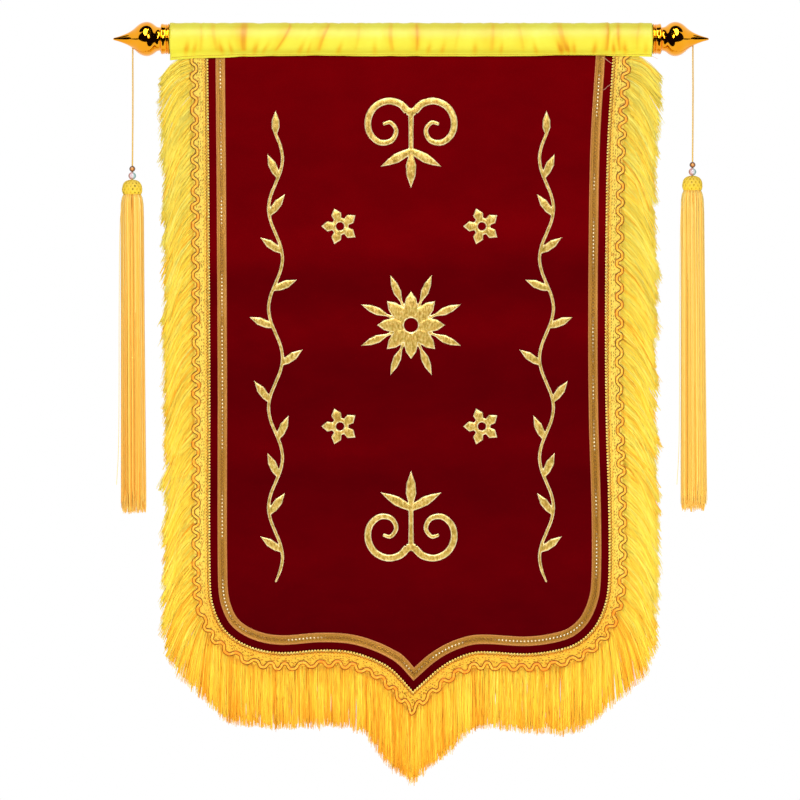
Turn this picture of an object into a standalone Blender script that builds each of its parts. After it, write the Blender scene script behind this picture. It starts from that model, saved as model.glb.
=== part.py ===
"""An honor banner hanging from its rod, at its real size.

Metres, +Z up. The rod lies along X with its middle at the origin, and the front of the banner
faces -Y. Every piece that a maker cuts, turns or sews on is one closed solid of its own.
"""

import math
import random

import bmesh
import bpy
import numpy as np

MM = 0.001
COLLECTION_NAME = "honor_banner"

# Spaces between the pieces
FIT = 0.3 * MM
LAP = 0.5 * MM

# Rod: a plain round bar, its facets in line with those of the satin round it
ROD_RADIUS = 22.0 * MM
ROD_HALF_LENGTH = 381.0 * MM
ROD_FACETS = 16
SPIGOT_RADIUS = 12.0 * MM
SPIGOT_LENGTH = 28.0 * MM
SPIGOT_ROOM = 2.0 * MM

# Finial: distance out from the rod's end, and radius there, from the tip inwards
FINIAL_TIP = 89.5 * MM
FINIAL_PROFILE = (
    (88.6, 1.8),
    (78.8, 4.6),
    (67.2, 9.3),
    (58.5, 14.7),
    (49.0, 22.9),
    (42.5, 26.2),
    (36.3, 27.2),
    (30.5, 26.1),
    (26.4, 24.0),
    (20.8, 19.8),
    (17.0, 18.7),
    (14.6, 19.2),
    (12.6, 24.0),
    (5.0, 24.0),
    (4.4, 22.6),
    (3.8, 24.0),
)
FINIAL_STEPS = 16

# Satin sleeve: folded over the rod, sewn together below it
SATIN_THICKNESS = 1.2 * MM
# The front lip rises over the fringe's header from this far to this far before it
LIP_RISE = (14.0 * MM, 4.0 * MM)
SLEEVE_HALF_WIDTH = 380.5 * MM
SLEEVE_RADIUS = 23.1 * MM
SLEEVE_PUFF = 1.2 * MM
SEAM_HEIGHT = -26.2 * MM
HEM_HEIGHT = -30.5 * MM
BACK_HEM_SHORT = 0.5 * MM
# The front hem hangs a little lower towards its left end
LEFT_SAG = 1.6 * MM
LEFT_SAG_PLACES = (0.30, 0.37)
# Round the rod the satin runs from this turn, in degrees, in steps of one facet of the rod
ROUND_START = 45
ROUND_STEPS = 13
TOP_STEP = 6
# Creases: where each is at the hem and at the top, its half width, and how far it stands out
CREASES = (
    (-340, -336, 16, 1.4),
    (-268, -270, 11, 2.6),
    (-222, -196, 12, 1.8),
    (-152, -134, 12, 1.9),
    (-33, -36, 11, 2.0),
    (5, 4, 10, 2.2),
    (120, 124, 16, 1.2),
    (240, 228, 12, 1.7),
    (304, 307, 9, 2.6),
    (326, 322, 10, 1.5),
)
SLEEVE_MOST_SPACING = 56.0 * MM
CREASE_NEAREST = 5.0 * MM
# Shares of a crease's height: at the hem, round the rod, and lost at each step behind
CREASE_AT_HEM = 0.5
CREASE_ROUND = 0.9
CREASE_LOST = 0.12
CREASE_FALL = 1.4
SLANT_RATE = 1.15

# Velvet panel: the line where its border starts, from the sleeve down to the point, each side
VELVET_THICKNESS = 2.0 * MM
LEFT_BORDER = (
    (-320, -24),
    (-318, -250),
    (-316.5, -560),
    (-316, -850),
    (-311, -896),
    (-292, -934),
    (-256, -958),
    (-209, -968),
    (-141, -964),
    (-95, -967),
    (-55, -980),
    (-28, -996),
    (3, -1029),
)
RIGHT_BORDER = (
    (318, -24),
    (309, -180),
    (306, -430),
    (307, -600),
    (311, -740),
    (311, -850),
    (306, -890),
    (289, -928),
    (262, -953),
    (226, -965),
    (180, -970),
    (107, -967),
    (76, -975),
    (47, -991),
    (3, -1029),
)
VELVET_UNDER_HEADER = 15.0 * MM
VELVET_COLUMNS = 10
VELVET_ROWS = 40
# The rows are straight above, and take on the lower edge's shape by this power of their place
VELVET_DIP_POWER = 5

# Soft folds left across the velvet by packing: height, slope, half height and depth
FOLDS = (
    (-305, 0.077, 46, -2.2),
    (-386, 0.030, 42, 1.9),
    (-452, 0.010, 36, -1.4),
    (-539, 0.000, 50, 1.6),
    (-645, 0.005, 36, -1.3),
    (-690, 0.005, 38, 1.2),
    (-823, -0.020, 62, -1.6),
)
FOLDS_START = -45.0 * MM
FOLDS_FULL = -150.0 * MM
POINT_CURL = 4.0 * MM
POINT_CURL_FROM = -930.0 * MM
POINT_CURL_OVER = 130.0 * MM

# Gold tape, inside the border line
TAPE_INSET = 11.0 * MM
TAPE_WIDTH = 15.0 * MM
TAPE_THICKNESS = 1.0 * MM
TAPE_TOP = -32.0 * MM
TAPE_STATIONS = 52

# Fringe: its woven header, outside the border line, and the locks that hang from it
HEADER_WIDTH = 28.0 * MM
HEADER_THICKNESS = 2.4 * MM
LOCKS_A_SIDE = 106
LOCK_LENGTH = 97.0 * MM
LOCK_UNEVEN = 6.0 * MM
LOCK_STRAY = 1.1 * MM
TOP_LOCKS_SHORT = 0.22
POINT_LOCK_EXTRA = 8.0 * MM
POINT_LOCKS_WITHIN = (60.0 * MM, 15.0 * MM)
MITRE_OVER = 60.0 * MM
# Lean from straight down, in degrees, of a lock's first and second stretch
SIDE_LEAN = (43, 24)
TOP_LEAN = (66, 36)
LEAN_ENDS = (-885.0 * MM, -962.0 * MM)
TOP_LOCKS_ABOVE = -90.0 * MM
LOCK_BEND_AT = 0.45
# Width along the header and thickness of a lock, as shares of its root's
LOCK_MIDDLE = (0.84, 2.1)
LOCK_END = (0.42, 1.0)

# Tassel string, from the hole under the finial down to the tassel's head
CORD_RADIUS = 1.25 * MM
CORD_HOLE_RADIUS = 1.6 * MM
CORD_SINK = 4.0 * MM
DRILL_PAST = 3.0 * MM
DRILL_SIDES = 10
CORD_POINTS = 28
# The string's place across, at even heights from its top to its foot, in millimetres
CORD_LEFT = (-439.6, -439.6, -439.6, -439.5, -439.5, -439.4, -439.5, -439.5,
             -439.6, -439.7, -439.8, -439.9, -440.1, -440.4, -440.6)
CORD_RIGHT = (445.4, 445.4, 445.4, 445.5, 445.6, 445.6, 445.5, 445.4,
              445.4, 445.3, 445.2, 445.1, 444.9, 444.7, 444.5)
AMBER_RADIUS = 4.75 * MM
CLEAR_RADIUS = 6.0 * MM
BEAD_BORE_RADIUS = 1.8 * MM
BEAD_ROWS = 6
BEAD_STEPS = 10

# Tassel: head's depth below its top and radius there
HEAD_PROFILE = (
    (0.3, 5.5),
    (2.4, 10.6),
    (7.0, 14.0),
    (14.0, 15.6),
    (21.0, 15.9),
    (24.0, 17.9),
)
HEAD_FOOT = 26.0 * MM
HEAD_BORE_DEPTH = 2.6 * MM
SKIRT_RINGS = (17.9 * MM, 10.6 * MM, 4.8 * MM)
TASSEL_SECTORS = 12
SKIRT_UNEVEN = 22.0 * MM
SKIRT_SPREAD = 1.09
# How far down each section of a strand is, and its size there as a share of its root's
STRAND_SECTIONS = ((0.05, 0.82), (1.0, 0.66))
STRUNG_TASSELS = (
    # name, string, heights of amber bead, clear bead and head, skirt's foot and sway, seed
    ("left", CORD_LEFT, (-205.2, -216.2, -222.4), -745, 2.8, 1),
    ("right", CORD_RIGHT, (-198.9, -209.9, -216.1), -742, 1.9, 2),
)

# Raised gold ornaments
ORNAMENT_THICKNESS = 2.2 * MM
# A cloud head: the right half of its scroll, from the middle outwards, and its stem
CLOUD_HALF = (
    (4.5, 34),
    (14, 43),
    (29, 46),
    (44, 39),
    (52, 24),
    (50, 7),
    (38, -4),
    (24, -2),
    (18, 10),
    (25, 20),
    (34, 18),
)
CLOUD_WIDTHS = (9.5, 9, 8.5, 8.5, 8.5, 8, 7.5, 6.5, 5.5, 5, 4)
CLOUD_STEM = ((0, 22), (0, 8), (0, -8), (0, -20), (0, -32), (0, -45), (0, -60))
CLOUD_STEM_WIDTHS = (7, 6, 6, 6, 13, 11, 0)
CLOUD_LEAF_ROW = 3
CLOUD_LEAF_ANGLE = 62
CLOUD_LEAF_REACH = (9, 20, 30, 40)
CLOUD_LEAF_WIDTHS = (10, 12, 8, 0)
CLOUD_SIZE = 1.3
CLOUDS = (
    # name, height of its middle, way up
    ("cloud_upper", -158, 1),
    ("cloud_lower", -760, -1),
)
# Rosettes: radii of the ring, sectors, and each ray's reach and widths
FLOWER_HEIGHT = -452
FLOWER_RING = (11, 21)
FLOWER_SECTORS = 16
PETAL_REACH = (10, 26, 42, 52)
PETAL_WIDTHS = (17, 25, 18, 0)
BUD_REACH = (20, 42, 56, 70, 84)
BUD_WIDTHS = (4.5, 4, 13, 11, 0)
BLOSSOM_RING = (5, 11)
BLOSSOM_SECTORS = 10
BLOSSOM_REACH = (7, 16, 23)
BLOSSOM_WIDTHS = (13, 13, 0)
BLOSSOM_SIZE = 1.25
BLOSSOMS = (
    # name, across, height
    ("blossom_upper_left", -112, -296),
    ("blossom_upper_right", 112, -296),
    ("blossom_lower_left", -112, -612),
    ("blossom_lower_right", 112, -612),
)
VINE_ACROSS = 214
VINE_ENDS = (-858, -150)
VINE_SWING = 11
VINE_WAVES = 4.5
VINE_SEGMENTS = 36
VINE_WIDTH = 5.0
VINE_LEAF_EVERY = 3
VINE_LEAF_ANGLE = 46
VINE_LEAF_REACH = (10, 24, 40)
VINE_LEAF_WIDTHS = (12.5, 13, 0)
VINE_BUD_REACH = (10, 22, 36)
VINE_BUD_WIDTHS = (13, 12, 0)


def remove_scene_objects():
    for thing in list(bpy.data.objects):
        bpy.data.objects.remove(thing)


def new_collection(name):
    made = bpy.data.collections.new(name)
    bpy.context.scene.collection.children.link(made)
    return made


def material(name, colour, roughness, metallic=0.0, transmission=0.0):
    made = bpy.data.materials.new(name)
    made.use_nodes = True
    shader = made.node_tree.nodes["Principled BSDF"]
    shader.inputs["Base Color"].default_value = (*colour, 1.0)
    shader.inputs["Roughness"].default_value = roughness
    shader.inputs["Metallic"].default_value = metallic
    shader.inputs["Transmission Weight"].default_value = transmission
    return made


def add_object(name, mesh, collection, finish):
    made = bpy.data.objects.new(name, mesh)
    mesh.materials.append(finish)
    collection.objects.link(made)
    return made


def object_from(bm, name, collection, finish, smooth_angle=None):
    """A bmesh as a named object, with its faces turned outwards."""
    bmesh.ops.recalc_face_normals(bm, faces=bm.faces)
    mesh = bpy.data.meshes.new(name)
    bm.to_mesh(mesh)
    bm.free()
    if smooth_angle is not None:
        mesh.shade_smooth()
        mesh.set_sharp_from_angle(angle=math.radians(smooth_angle))
    return add_object(name, mesh, collection, finish)


def solidify(thing, thickness):
    """Gives an open sheet its thickness, half to each side."""
    modifier = thing.modifiers.new("thickness", "SOLIDIFY")
    modifier.thickness = thickness
    modifier.offset = 0.0
    modifier.use_even_offset = True


def turned(name, profile, collection, finish, steps, closed=False):
    """A profile of (radius, height) points, top to bottom on its outer side, spun about Z."""
    mesh = bpy.data.meshes.new(name)
    points = [(radius, 0.0, height) for radius, height in profile]
    edges = [(i, i + 1) for i in range(len(points) - 1)]
    if closed:
        edges.append((len(points) - 1, 0))
    mesh.from_pydata(points, edges, [])
    made = add_object(name, mesh, collection, finish)
    screw = made.modifiers.new("turning", "SCREW")
    screw.axis = "Z"
    screw.angle = math.tau
    screw.steps = steps
    screw.render_steps = steps
    screw.use_merge_vertices = True
    screw.merge_threshold = 0.00001
    return made


def smooth_line(points, steps=24):
    """A smooth curve through the points, as an array of closely spaced points."""
    p = np.array(points, float)
    at = np.concatenate([[0.0], np.cumsum(np.linalg.norm(np.diff(p, axis=0), axis=1))])
    slope = np.empty_like(p)
    slope[1:-1] = (p[2:] - p[:-2]) / (at[2:] - at[:-2])[:, None]
    slope[0] = (p[1] - p[0]) / (at[1] - at[0])
    slope[-1] = (p[-1] - p[-2]) / (at[-1] - at[-2])
    found = []
    for i in range(len(p) - 1):
        span = at[i + 1] - at[i]
        t = np.linspace(0.0, 1.0, steps, endpoint=False)[:, None]
        found.append(
            (2 * t**3 - 3 * t**2 + 1) * p[i]
            + (t**3 - 2 * t**2 + t) * span * slope[i]
            + (3 * t**2 - 2 * t**3) * p[i + 1]
            + (t**3 - t**2) * span * slope[i + 1]
        )
    return np.concatenate([*found, p[-1:]])


def run_of(line):
    """The distance along a line to each of its points."""
    return np.concatenate([[0.0], np.cumsum(np.linalg.norm(np.diff(line, axis=0), axis=1))])


def spread(values, along, count):
    """Values at points evenly spaced along a line, its two ends included."""
    at = np.linspace(along[0], along[-1], count + 1)
    return np.stack([np.interp(at, along, values[:, k]) for k in range(values.shape[1])], axis=1)


def smoothstep(low, high, value):
    t = min(1.0, max(0.0, (value - low) / (high - low)))
    return t * t * (3 - 2 * t)


def drift(x, z):
    """How far back the hanging velvet's middle plane lies at a place across and up."""
    held = smoothstep(FOLDS_START, FOLDS_FULL, z)
    y = 0.0
    for height, slope, half, depth in FOLDS:
        off = (z - height * MM - slope * x) / (half * MM)
        y += depth * MM * math.exp(-off * off)
    below = max(0.0, (POINT_CURL_FROM - z) / POINT_CURL_OVER)
    return held * y - POINT_CURL * below * below


def tangents(line):
    t = np.gradient(line, axis=0)
    return t / np.linalg.norm(t, axis=1)[:, None]


def border(points, outward_sign):
    """A side's border line with, at each point, the way outwards, mitred at the lower point."""
    line = smooth_line(np.array(points) * MM)
    along = tangents(line)
    outward = outward_sign * np.stack([-along[:, 1], along[:, 0]], axis=1)
    return line, outward


def mitred(line, outward, corner):
    """Turns the way outwards little by little to the corner's, over the last stretch."""
    left = run_of(line)[-1] - run_of(line)
    share = np.clip(1 - left / MITRE_OVER, 0, 1)[:, None]
    return outward + share * (corner - outward[-1])


def borders():
    """Both sides' border lines and ways outwards: {-1: left, 1: right}."""
    left, left_out = border(LEFT_BORDER, -1)
    right, right_out = border(RIGHT_BORDER, 1)
    meet = left_out[-1] + right_out[-1]
    corner = meet / (1 + float(left_out[-1] @ right_out[-1]))
    return {
        -1: (left, mitred(left, left_out, corner)),
        1: (right, mitred(right, right_out, corner)),
    }


def stations(side, out, count):
    """Evenly spaced places along a side's line moved outwards, as (border point, way out)."""
    line, outward = side
    both = np.concatenate([line, outward], axis=1)
    found = spread(both, run_of(line + outward * out), count)
    return found[:, :2], found[:, 2:]


def strip_round(sides, edges, count, depth):
    """Rows of points down the left side, round the point and up the right side.

    edges are the distances out from the border line, and depth the place behind the velvet's
    middle plane."""
    rows = []
    for sign in (-1, 1):
        points, outward = stations(sides[sign], edges[-1], count)
        half = [[place(*(p + o * e), depth) for e in edges] for p, o in zip(points, outward)]
        rows.append(half)
    return rows[0] + rows[1][-2::-1]


def place(x, z, depth):
    """A point on the hanging cloth, that far behind the velvet's middle plane."""
    return (x, drift(x, z) + depth, z)


def add_rows(bm, rows):
    return [[bm.verts.new(p) for p in row] for row in rows]


def skin(bm, rows, closed=False):
    """Four-sided faces between neighbouring rows of vertices."""
    for above, below in zip(rows, rows[1:]):
        ends = len(above) if closed else len(above) - 1
        for i in range(ends):
            j = (i + 1) % len(above)
            bm.faces.new((above[i], above[j], below[j], below[i]))


def grow(bm, root, sections):
    """A closed lock from four root vertices through its sections to a flat end."""
    rings = [list(root)] + add_rows(bm, sections)
    skin(bm, rings, closed=True)
    bm.faces.new(rings[-1])


def make_rod(collection):
    end, bore = ROD_HALF_LENGTH, SPIGOT_RADIUS + FIT
    floor = ROD_HALF_LENGTH - SPIGOT_LENGTH - SPIGOT_ROOM
    half = [(0.0, floor), (bore, floor), (bore, end), (ROD_RADIUS, end)]
    profile = half + [(radius, -height) for radius, height in reversed(half)]
    rod = turned(
        "rod", profile, collection, material("rod_wood", (0.62, 0.46, 0.28), 0.6), ROD_FACETS
    )
    rod.rotation_euler = (0.0, math.pi / 2, 0.0)
    return rod


def finial_radius(out):
    """The finial's radius at a distance out from the rod's end."""
    table = np.array(FINIAL_PROFILE[::-1]) * MM
    return float(np.interp(out, table[:, 0], table[:, 1]))


def make_finial(name, sign, cord_across, cord_top, collection, cutters):
    profile = [(0.0, FINIAL_TIP)]
    profile += [(radius * MM, out * MM) for out, radius in FINIAL_PROFILE]
    profile += [
        (FINIAL_PROFILE[-1][1] * MM, FIT),
        (SPIGOT_RADIUS, FIT),
        (SPIGOT_RADIUS, -SPIGOT_LENGTH),
        (0.0, -SPIGOT_LENGTH),
    ]
    gold = material(name + "_gold", (0.86, 0.47, 0.06), 0.12, 1.0)
    finial = turned(name, profile, collection, gold, FINIAL_STEPS)
    finial.location = (sign * ROD_HALF_LENGTH, 0.0, 0.0)
    finial.rotation_euler = (0.0, sign * math.pi / 2, 0.0)
    under = -finial_radius(abs(cord_across) - ROD_HALF_LENGTH)
    top, foot = cord_top + FIT, under - DRILL_PAST
    bpy.ops.mesh.primitive_cylinder_add(
        vertices=DRILL_SIDES,
        radius=CORD_HOLE_RADIUS,
        depth=top - foot,
        location=(cord_across, 0.0, (top + foot) / 2),
    )
    drill = bpy.context.active_object
    drill.name = name + "_drill"
    drill.hide_render = True
    drill.display_type = "WIRE"
    for home in list(drill.users_collection):
        home.objects.unlink(drill)
    cutters.objects.link(drill)
    hole = finial.modifiers.new("string_hole", "BOOLEAN")
    hole.operation = "DIFFERENCE"
    hole.object = drill
    return finial


def sleeve_columns():
    """The sleeve's column lines, as (place at the hem, place at the top), left to right."""
    marks = [(-SLEEVE_HALF_WIDTH, -SLEEVE_HALF_WIDTH)]
    for hem, top, half, _ in CREASES:
        marks += [((hem + k * half) * MM, (top + k * half) * MM) for k in (-1, 0, 1)]
    marks.append((SLEEVE_HALF_WIDTH, SLEEVE_HALF_WIDTH))
    marks.sort()
    kept = [marks[0]]
    for mark in marks[1:]:
        if min(mark[0] - kept[-1][0], mark[1] - kept[-1][1]) < CREASE_NEAREST:
            continue
        pieces = math.ceil((mark[0] - kept[-1][0]) / SLEEVE_MOST_SPACING)
        start = kept[-1]
        for k in range(1, pieces + 1):
            share = k / pieces
            kept.append(tuple(a + (b - a) * share for a, b in zip(start, mark)))
    return kept


def crease_height(hem, top):
    """How far the satin stands out of its round at a column line."""
    found = 0.0
    for crease_hem, crease_top, half, height in CREASES:
        off = (hem + top - (crease_hem + crease_top) * MM) / (2 * half * MM)
        found += height * MM * math.exp(-off * off * CREASE_FALL)
    return found


def sleeve_front(x):
    """The depth of the sleeve's front lip: further out where it covers the header."""
    over_velvet = VELVET_THICKNESS / 2 + LAP + SATIN_THICKNESS / 2
    side = LEFT_BORDER[0][0] if x < 0 else RIGHT_BORDER[0][0]
    near, full = (abs(side) * MM - before for before in LIP_RISE)
    over_header = smoothstep(near, full, abs(x))
    return -(over_velvet + over_header * (HEADER_THICKNESS + LAP))


def make_sleeve(collection):
    """One strip: front lip, round the rod, back lip, with creases drawn to the seam."""
    turns = [math.radians(ROUND_START) + math.tau * k / ROD_FACETS for k in range(ROUND_STEPS)]
    back = VELVET_THICKNESS / 2 + LAP + SATIN_THICKNESS / 2
    rows = []
    for hem, top in sleeve_columns():
        bulge = crease_height(hem, top)
        lip = HEM_HEIGHT - LEFT_SAG * smoothstep(*LEFT_SAG_PLACES, -hem) + bulge * CREASE_AT_HEM
        row = [(hem, sleeve_front(hem), lip), (hem, sleeve_front(hem), SEAM_HEIGHT)]
        for k, turn in enumerate(turns):
            up = (1 - math.cos(turn)) / 2
            full = up if k < TOP_STEP else 1 - CREASE_LOST * (k - TOP_STEP)
            radius = SLEEVE_RADIUS + SLEEVE_PUFF * up * up + bulge * full * CREASE_ROUND
            x = hem + (top - hem) * min(1.0, up * SLANT_RATE)
            row.append((x, -radius * math.sin(turn), -radius * math.cos(turn)))
        last = row[-1][0]
        row += [(last, back, SEAM_HEIGHT), (last, back, HEM_HEIGHT + BACK_HEM_SHORT)]
        rows.append(row)
    bm = bmesh.new()
    skin(bm, add_rows(bm, rows))
    satin = material("sleeve_satin", (0.95, 0.72, 0.06), 0.38)
    sleeve = object_from(bm, "sleeve", collection, satin, 60)
    solidify(sleeve, SATIN_THICKNESS)
    return sleeve


def make_velvet(sides, collection):
    """The panel as one sheet, its rows running across from side to side."""
    edge = {}
    for sign in (-1, 1):
        line, outward = sides[sign]
        moved = line + outward * VELVET_UNDER_HEADER
        corner = int(np.argmax(np.abs(outward[:, 1]) > np.abs(outward[:, 0])))
        side_line, low_line = moved[: corner + 1], moved[corner:]
        edge[sign] = (
            spread(side_line, run_of(side_line), VELVET_ROWS),
            spread(low_line, run_of(low_line), VELVET_COLUMNS // 2),
        )
    left, right = edge[-1][0], edge[1][0]
    low = np.concatenate([edge[-1][1], edge[1][1][-2::-1]])
    dip = low - np.linspace(left[-1], right[-1], VELVET_COLUMNS + 1)
    rows = []
    for i, ends in enumerate(zip(left, right)):
        across = np.linspace(*ends, VELVET_COLUMNS + 1)
        row = across + dip * (i / VELVET_ROWS) ** VELVET_DIP_POWER
        rows.append([place(x, z, 0.0) for x, z in row])
    bm = bmesh.new()
    skin(bm, add_rows(bm, rows))
    crimson = material("crimson_velvet", (0.16, 0.002, 0.004), 0.9)
    velvet = object_from(bm, "velvet_panel", collection, crimson, 60)
    solidify(velvet, VELVET_THICKNESS)
    return velvet


def make_tape(sides, collection):
    depth = -(VELVET_THICKNESS / 2 + LAP + TAPE_THICKNESS / 2)
    edges = (-TAPE_INSET - TAPE_WIDTH, -TAPE_INSET)
    below_sleeve = {}
    for sign, (line, outward) in sides.items():
        kept = line[:, 1] < TAPE_TOP
        below_sleeve[sign] = (line[kept], outward[kept])
    bm = bmesh.new()
    skin(bm, add_rows(bm, strip_round(below_sleeve, edges, TAPE_STATIONS, depth)))
    braid = material("tape_braid", (0.52, 0.30, 0.13), 0.45, 0.5)
    tape = object_from(bm, "gold_tape", collection, braid)
    solidify(tape, TAPE_THICKNESS)
    return tape


def lock_lean(z, stretch):
    """A lock's lean outwards at a height of its root, in radians."""
    by_side = SIDE_LEAN[stretch] * smoothstep(LEAN_ENDS[1], LEAN_ENDS[0], z)
    near_top = smoothstep(TOP_LOCKS_ABOVE, HEM_HEIGHT, z)
    return math.radians(by_side + (TOP_LEAN[stretch] - SIDE_LEAN[stretch]) * near_top)


def lock_length(x, z, chance):
    near_top = smoothstep(TOP_LOCKS_ABOVE, HEM_HEIGHT, z)
    near_point = smoothstep(*POINT_LOCKS_WITHIN, abs(x))
    length = LOCK_LENGTH * (1 - TOP_LOCKS_SHORT * near_top) + POINT_LOCK_EXTRA * near_point
    return length + LOCK_UNEVEN * chance.uniform(-1, 1)


def lock_sections(root, sign, chance):
    """The two sections of a lock past its root, which is a list of four points."""
    corners = np.array(root)
    middle = corners.mean(axis=0)
    length = lock_length(middle[0], middle[2], chance)
    at, found = middle.copy(), []
    steps = ((LOCK_BEND_AT, LOCK_MIDDLE), (1 - LOCK_BEND_AT, LOCK_END))
    free = 1 - smoothstep(TOP_LOCKS_ABOVE, HEM_HEIGHT, middle[2])
    sideways = free * chance.uniform(-1, 1) * LOCK_STRAY
    for stretch, (share, (width, thickness)) in enumerate(steps):
        lean = lock_lean(middle[2], stretch)
        at = at + length * share * np.array([sign * math.sin(lean), 0.0, -math.cos(lean)])
        at[1] += sideways
        scale = np.array([width, 1 + free * (thickness - 1), width])
        found.append([tuple(at + (c - middle) * scale) for c in corners])
    return found


def make_fringe(sides, collection):
    """The header, one flat strip, with a lock grown from each step of its outer edge."""
    middle = -(VELVET_THICKNESS / 2 + LAP + HEADER_THICKNESS / 2)
    front, back = middle - HEADER_THICKNESS / 2, middle + HEADER_THICKNESS / 2
    edges = (0.0, HEADER_WIDTH)
    front_rows = strip_round(sides, edges, LOCKS_A_SIDE, front)
    back_rows = strip_round(sides, edges, LOCKS_A_SIDE, back)
    bm = bmesh.new()
    rings = add_rows(bm, [f + b[::-1] for f, b in zip(front_rows, back_rows)])
    chance = random.Random(4)
    for here, (one, two) in enumerate(zip(rings, rings[1:])):
        for i, j in ((0, 1), (2, 3), (3, 0)):
            bm.faces.new((one[i], one[j], two[j], two[i]))
        root = (one[1], one[2], two[2], two[1])
        sign = -1 if here < LOCKS_A_SIDE else 1
        grow(bm, root, lock_sections([tuple(v.co) for v in root], sign, chance))
    bm.faces.new(rings[0])
    bm.faces.new(rings[-1])
    silk = material("fringe_silk", (0.95, 0.68, 0.06), 0.5)
    return object_from(bm, "fringe", collection, silk)


def cord_route(across, top, foot):
    heights = np.linspace(top, foot, len(across))
    return [(x * MM, 0.0, float(z)) for x, z in zip(across, heights)]


def make_cord(name, route, collection):
    line = smooth_line(route)
    points = spread(line, run_of(line), CORD_POINTS - 1)
    curve = bpy.data.curves.new(name, "CURVE")
    curve.dimensions = "3D"
    curve.bevel_depth = CORD_RADIUS
    curve.bevel_resolution = 2
    curve.use_fill_caps = True
    spline = curve.splines.new("POLY")
    spline.points.add(len(points) - 1)
    for point, where in zip(spline.points, points):
        point.co = (*where, 1.0)
    return add_object(name, curve, collection, material(name + "_silk", (0.80, 0.50, 0.10), 0.6))


def cord_across(route, height):
    """Where the string is across, at a height."""
    r = np.array(route)[::-1]
    return float(np.interp(height, r[:, 2], r[:, 0]))


def make_bead(name, radius, where, collection, finish):
    """A round bead with its bore, turned about Z."""
    bore = BEAD_BORE_RADIUS
    half = math.sqrt(radius * radius - bore * bore)
    start = math.asin(half / radius)
    turns = np.linspace(start, -start, BEAD_ROWS)
    profile = [(radius * math.cos(a), radius * math.sin(a)) for a in turns]
    bead = turned(name, profile, collection, finish, BEAD_STEPS, closed=True)
    bead.location = where
    return bead


def circle(radius, x, z, count):
    return [
        (x + radius * math.cos(math.tau * k / count), radius * math.sin(math.tau * k / count), z)
        for k in range(count)
    ]


def make_tassel(name, across, head_top, skirt_foot, sway, seed, collection):
    """A head with a blind bore for its string, and the skirt's strands grown from its foot."""
    chance = random.Random(seed)
    upper = [
        circle(BEAD_BORE_RADIUS, across, head_top - HEAD_BORE_DEPTH, TASSEL_SECTORS),
        circle(BEAD_BORE_RADIUS, across, head_top, TASSEL_SECTORS),
    ]
    upper += [
        circle(radius * MM, across, head_top - down * MM, TASSEL_SECTORS)
        for down, radius in HEAD_PROFILE
    ]
    foot = head_top - HEAD_FOOT
    lower = [circle(radius, across, foot, TASSEL_SECTORS) for radius in SKIRT_RINGS]
    bm = bmesh.new()
    rings = add_rows(bm, upper + lower)
    skin(bm, rings[: len(upper) + 1], closed=True)
    bm.faces.new(rings[0])
    bm.faces.new(rings[-1])
    centre = np.array([across, 0.0, foot])
    for outer, inner in zip(rings[len(upper) :], rings[len(upper) + 1 :]):
        for k in range(TASSEL_SECTORS):
            j = (k + 1) % TASSEL_SECTORS
            root = (outer[k], outer[j], inner[j], inner[k])
            corners = np.array([tuple(v.co) for v in root])
            middle = corners.mean(axis=0)
            end = skirt_foot + chance.uniform(0, 1) * SKIRT_UNEVEN
            sections = []
            for share, size in STRAND_SECTIONS:
                at = centre + (middle - centre) * (1 + (SKIRT_SPREAD - 1) * share)
                at = at + np.array([sway * share, 0.0, (end - foot) * share])
                sections.append([tuple(at + (c - middle) * size) for c in corners])
            grow(bm, root, sections)
    silk = material(name + "_silk", (0.93, 0.62, 0.06), 0.5)
    return object_from(bm, name, collection, silk)


def strip(bm, spine, widths, base=None):
    """A flat strip along a spine of (across, up) points, ending in a tip where its width is 0.

    With a base, two vertices, it grows out of them. Returns its rows of two vertices."""
    line = np.array(spine, float)
    rows = []
    if base:
        root = np.mean([(v.co.x, v.co.z) for v in base], axis=0)
        along = tangents(np.concatenate([[root], line]))[1:]
        rows.append(base)
    else:
        along = tangents(line)
    for (x, z), (tx, tz), width in zip(line, along, widths):
        half = width / 2
        if half:
            left = bm.verts.new((x - tz * half, 0.0, z + tx * half))
            right = bm.verts.new((x + tz * half, 0.0, z - tx * half))
            rows.append((left, right))
        else:
            rows.append((bm.verts.new((x, 0.0, z)),) * 2)
    for (a, b), (c, d) in zip(rows, rows[1:]):
        bm.faces.new((a, b, d) if c is d else (a, b, d, c))
    return rows


def side_edge(rows, k, side):
    """A strip's edge after row k, on its left (0) or right (1), for a leaf to grow from."""
    return (rows[k + 1][1], rows[k][1]) if side else (rows[k][0], rows[k + 1][0])


def leaf(bm, base, direction, reach, widths):
    """A leaf or petal that grows straight out of two vertices."""
    root = np.mean([(v.co.x, v.co.z) for v in base], axis=0)
    way = np.array([math.cos(direction), math.sin(direction)])
    strip(bm, [root + far * way for far in reach], widths, base)


def rosette(bm, ring, sectors, rays):
    """A flat ring with rays grown from its outer edge; rays are (reach, widths), in turn."""
    inner, outer = (
        [
            bm.verts.new((radius * math.cos(turn), 0.0, radius * math.sin(turn)))
            for turn in (math.tau * (k - 0.5) / sectors for k in range(sectors))
        ]
        for radius in ring
    )
    for k in range(sectors):
        j = (k + 1) % sectors
        bm.faces.new((inner[k], outer[k], outer[j], inner[j]))
        reach, widths = rays[k % len(rays)]
        if reach:
            leaf(bm, (outer[j], outer[k]), math.tau * k / sectors, reach, widths)


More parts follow.
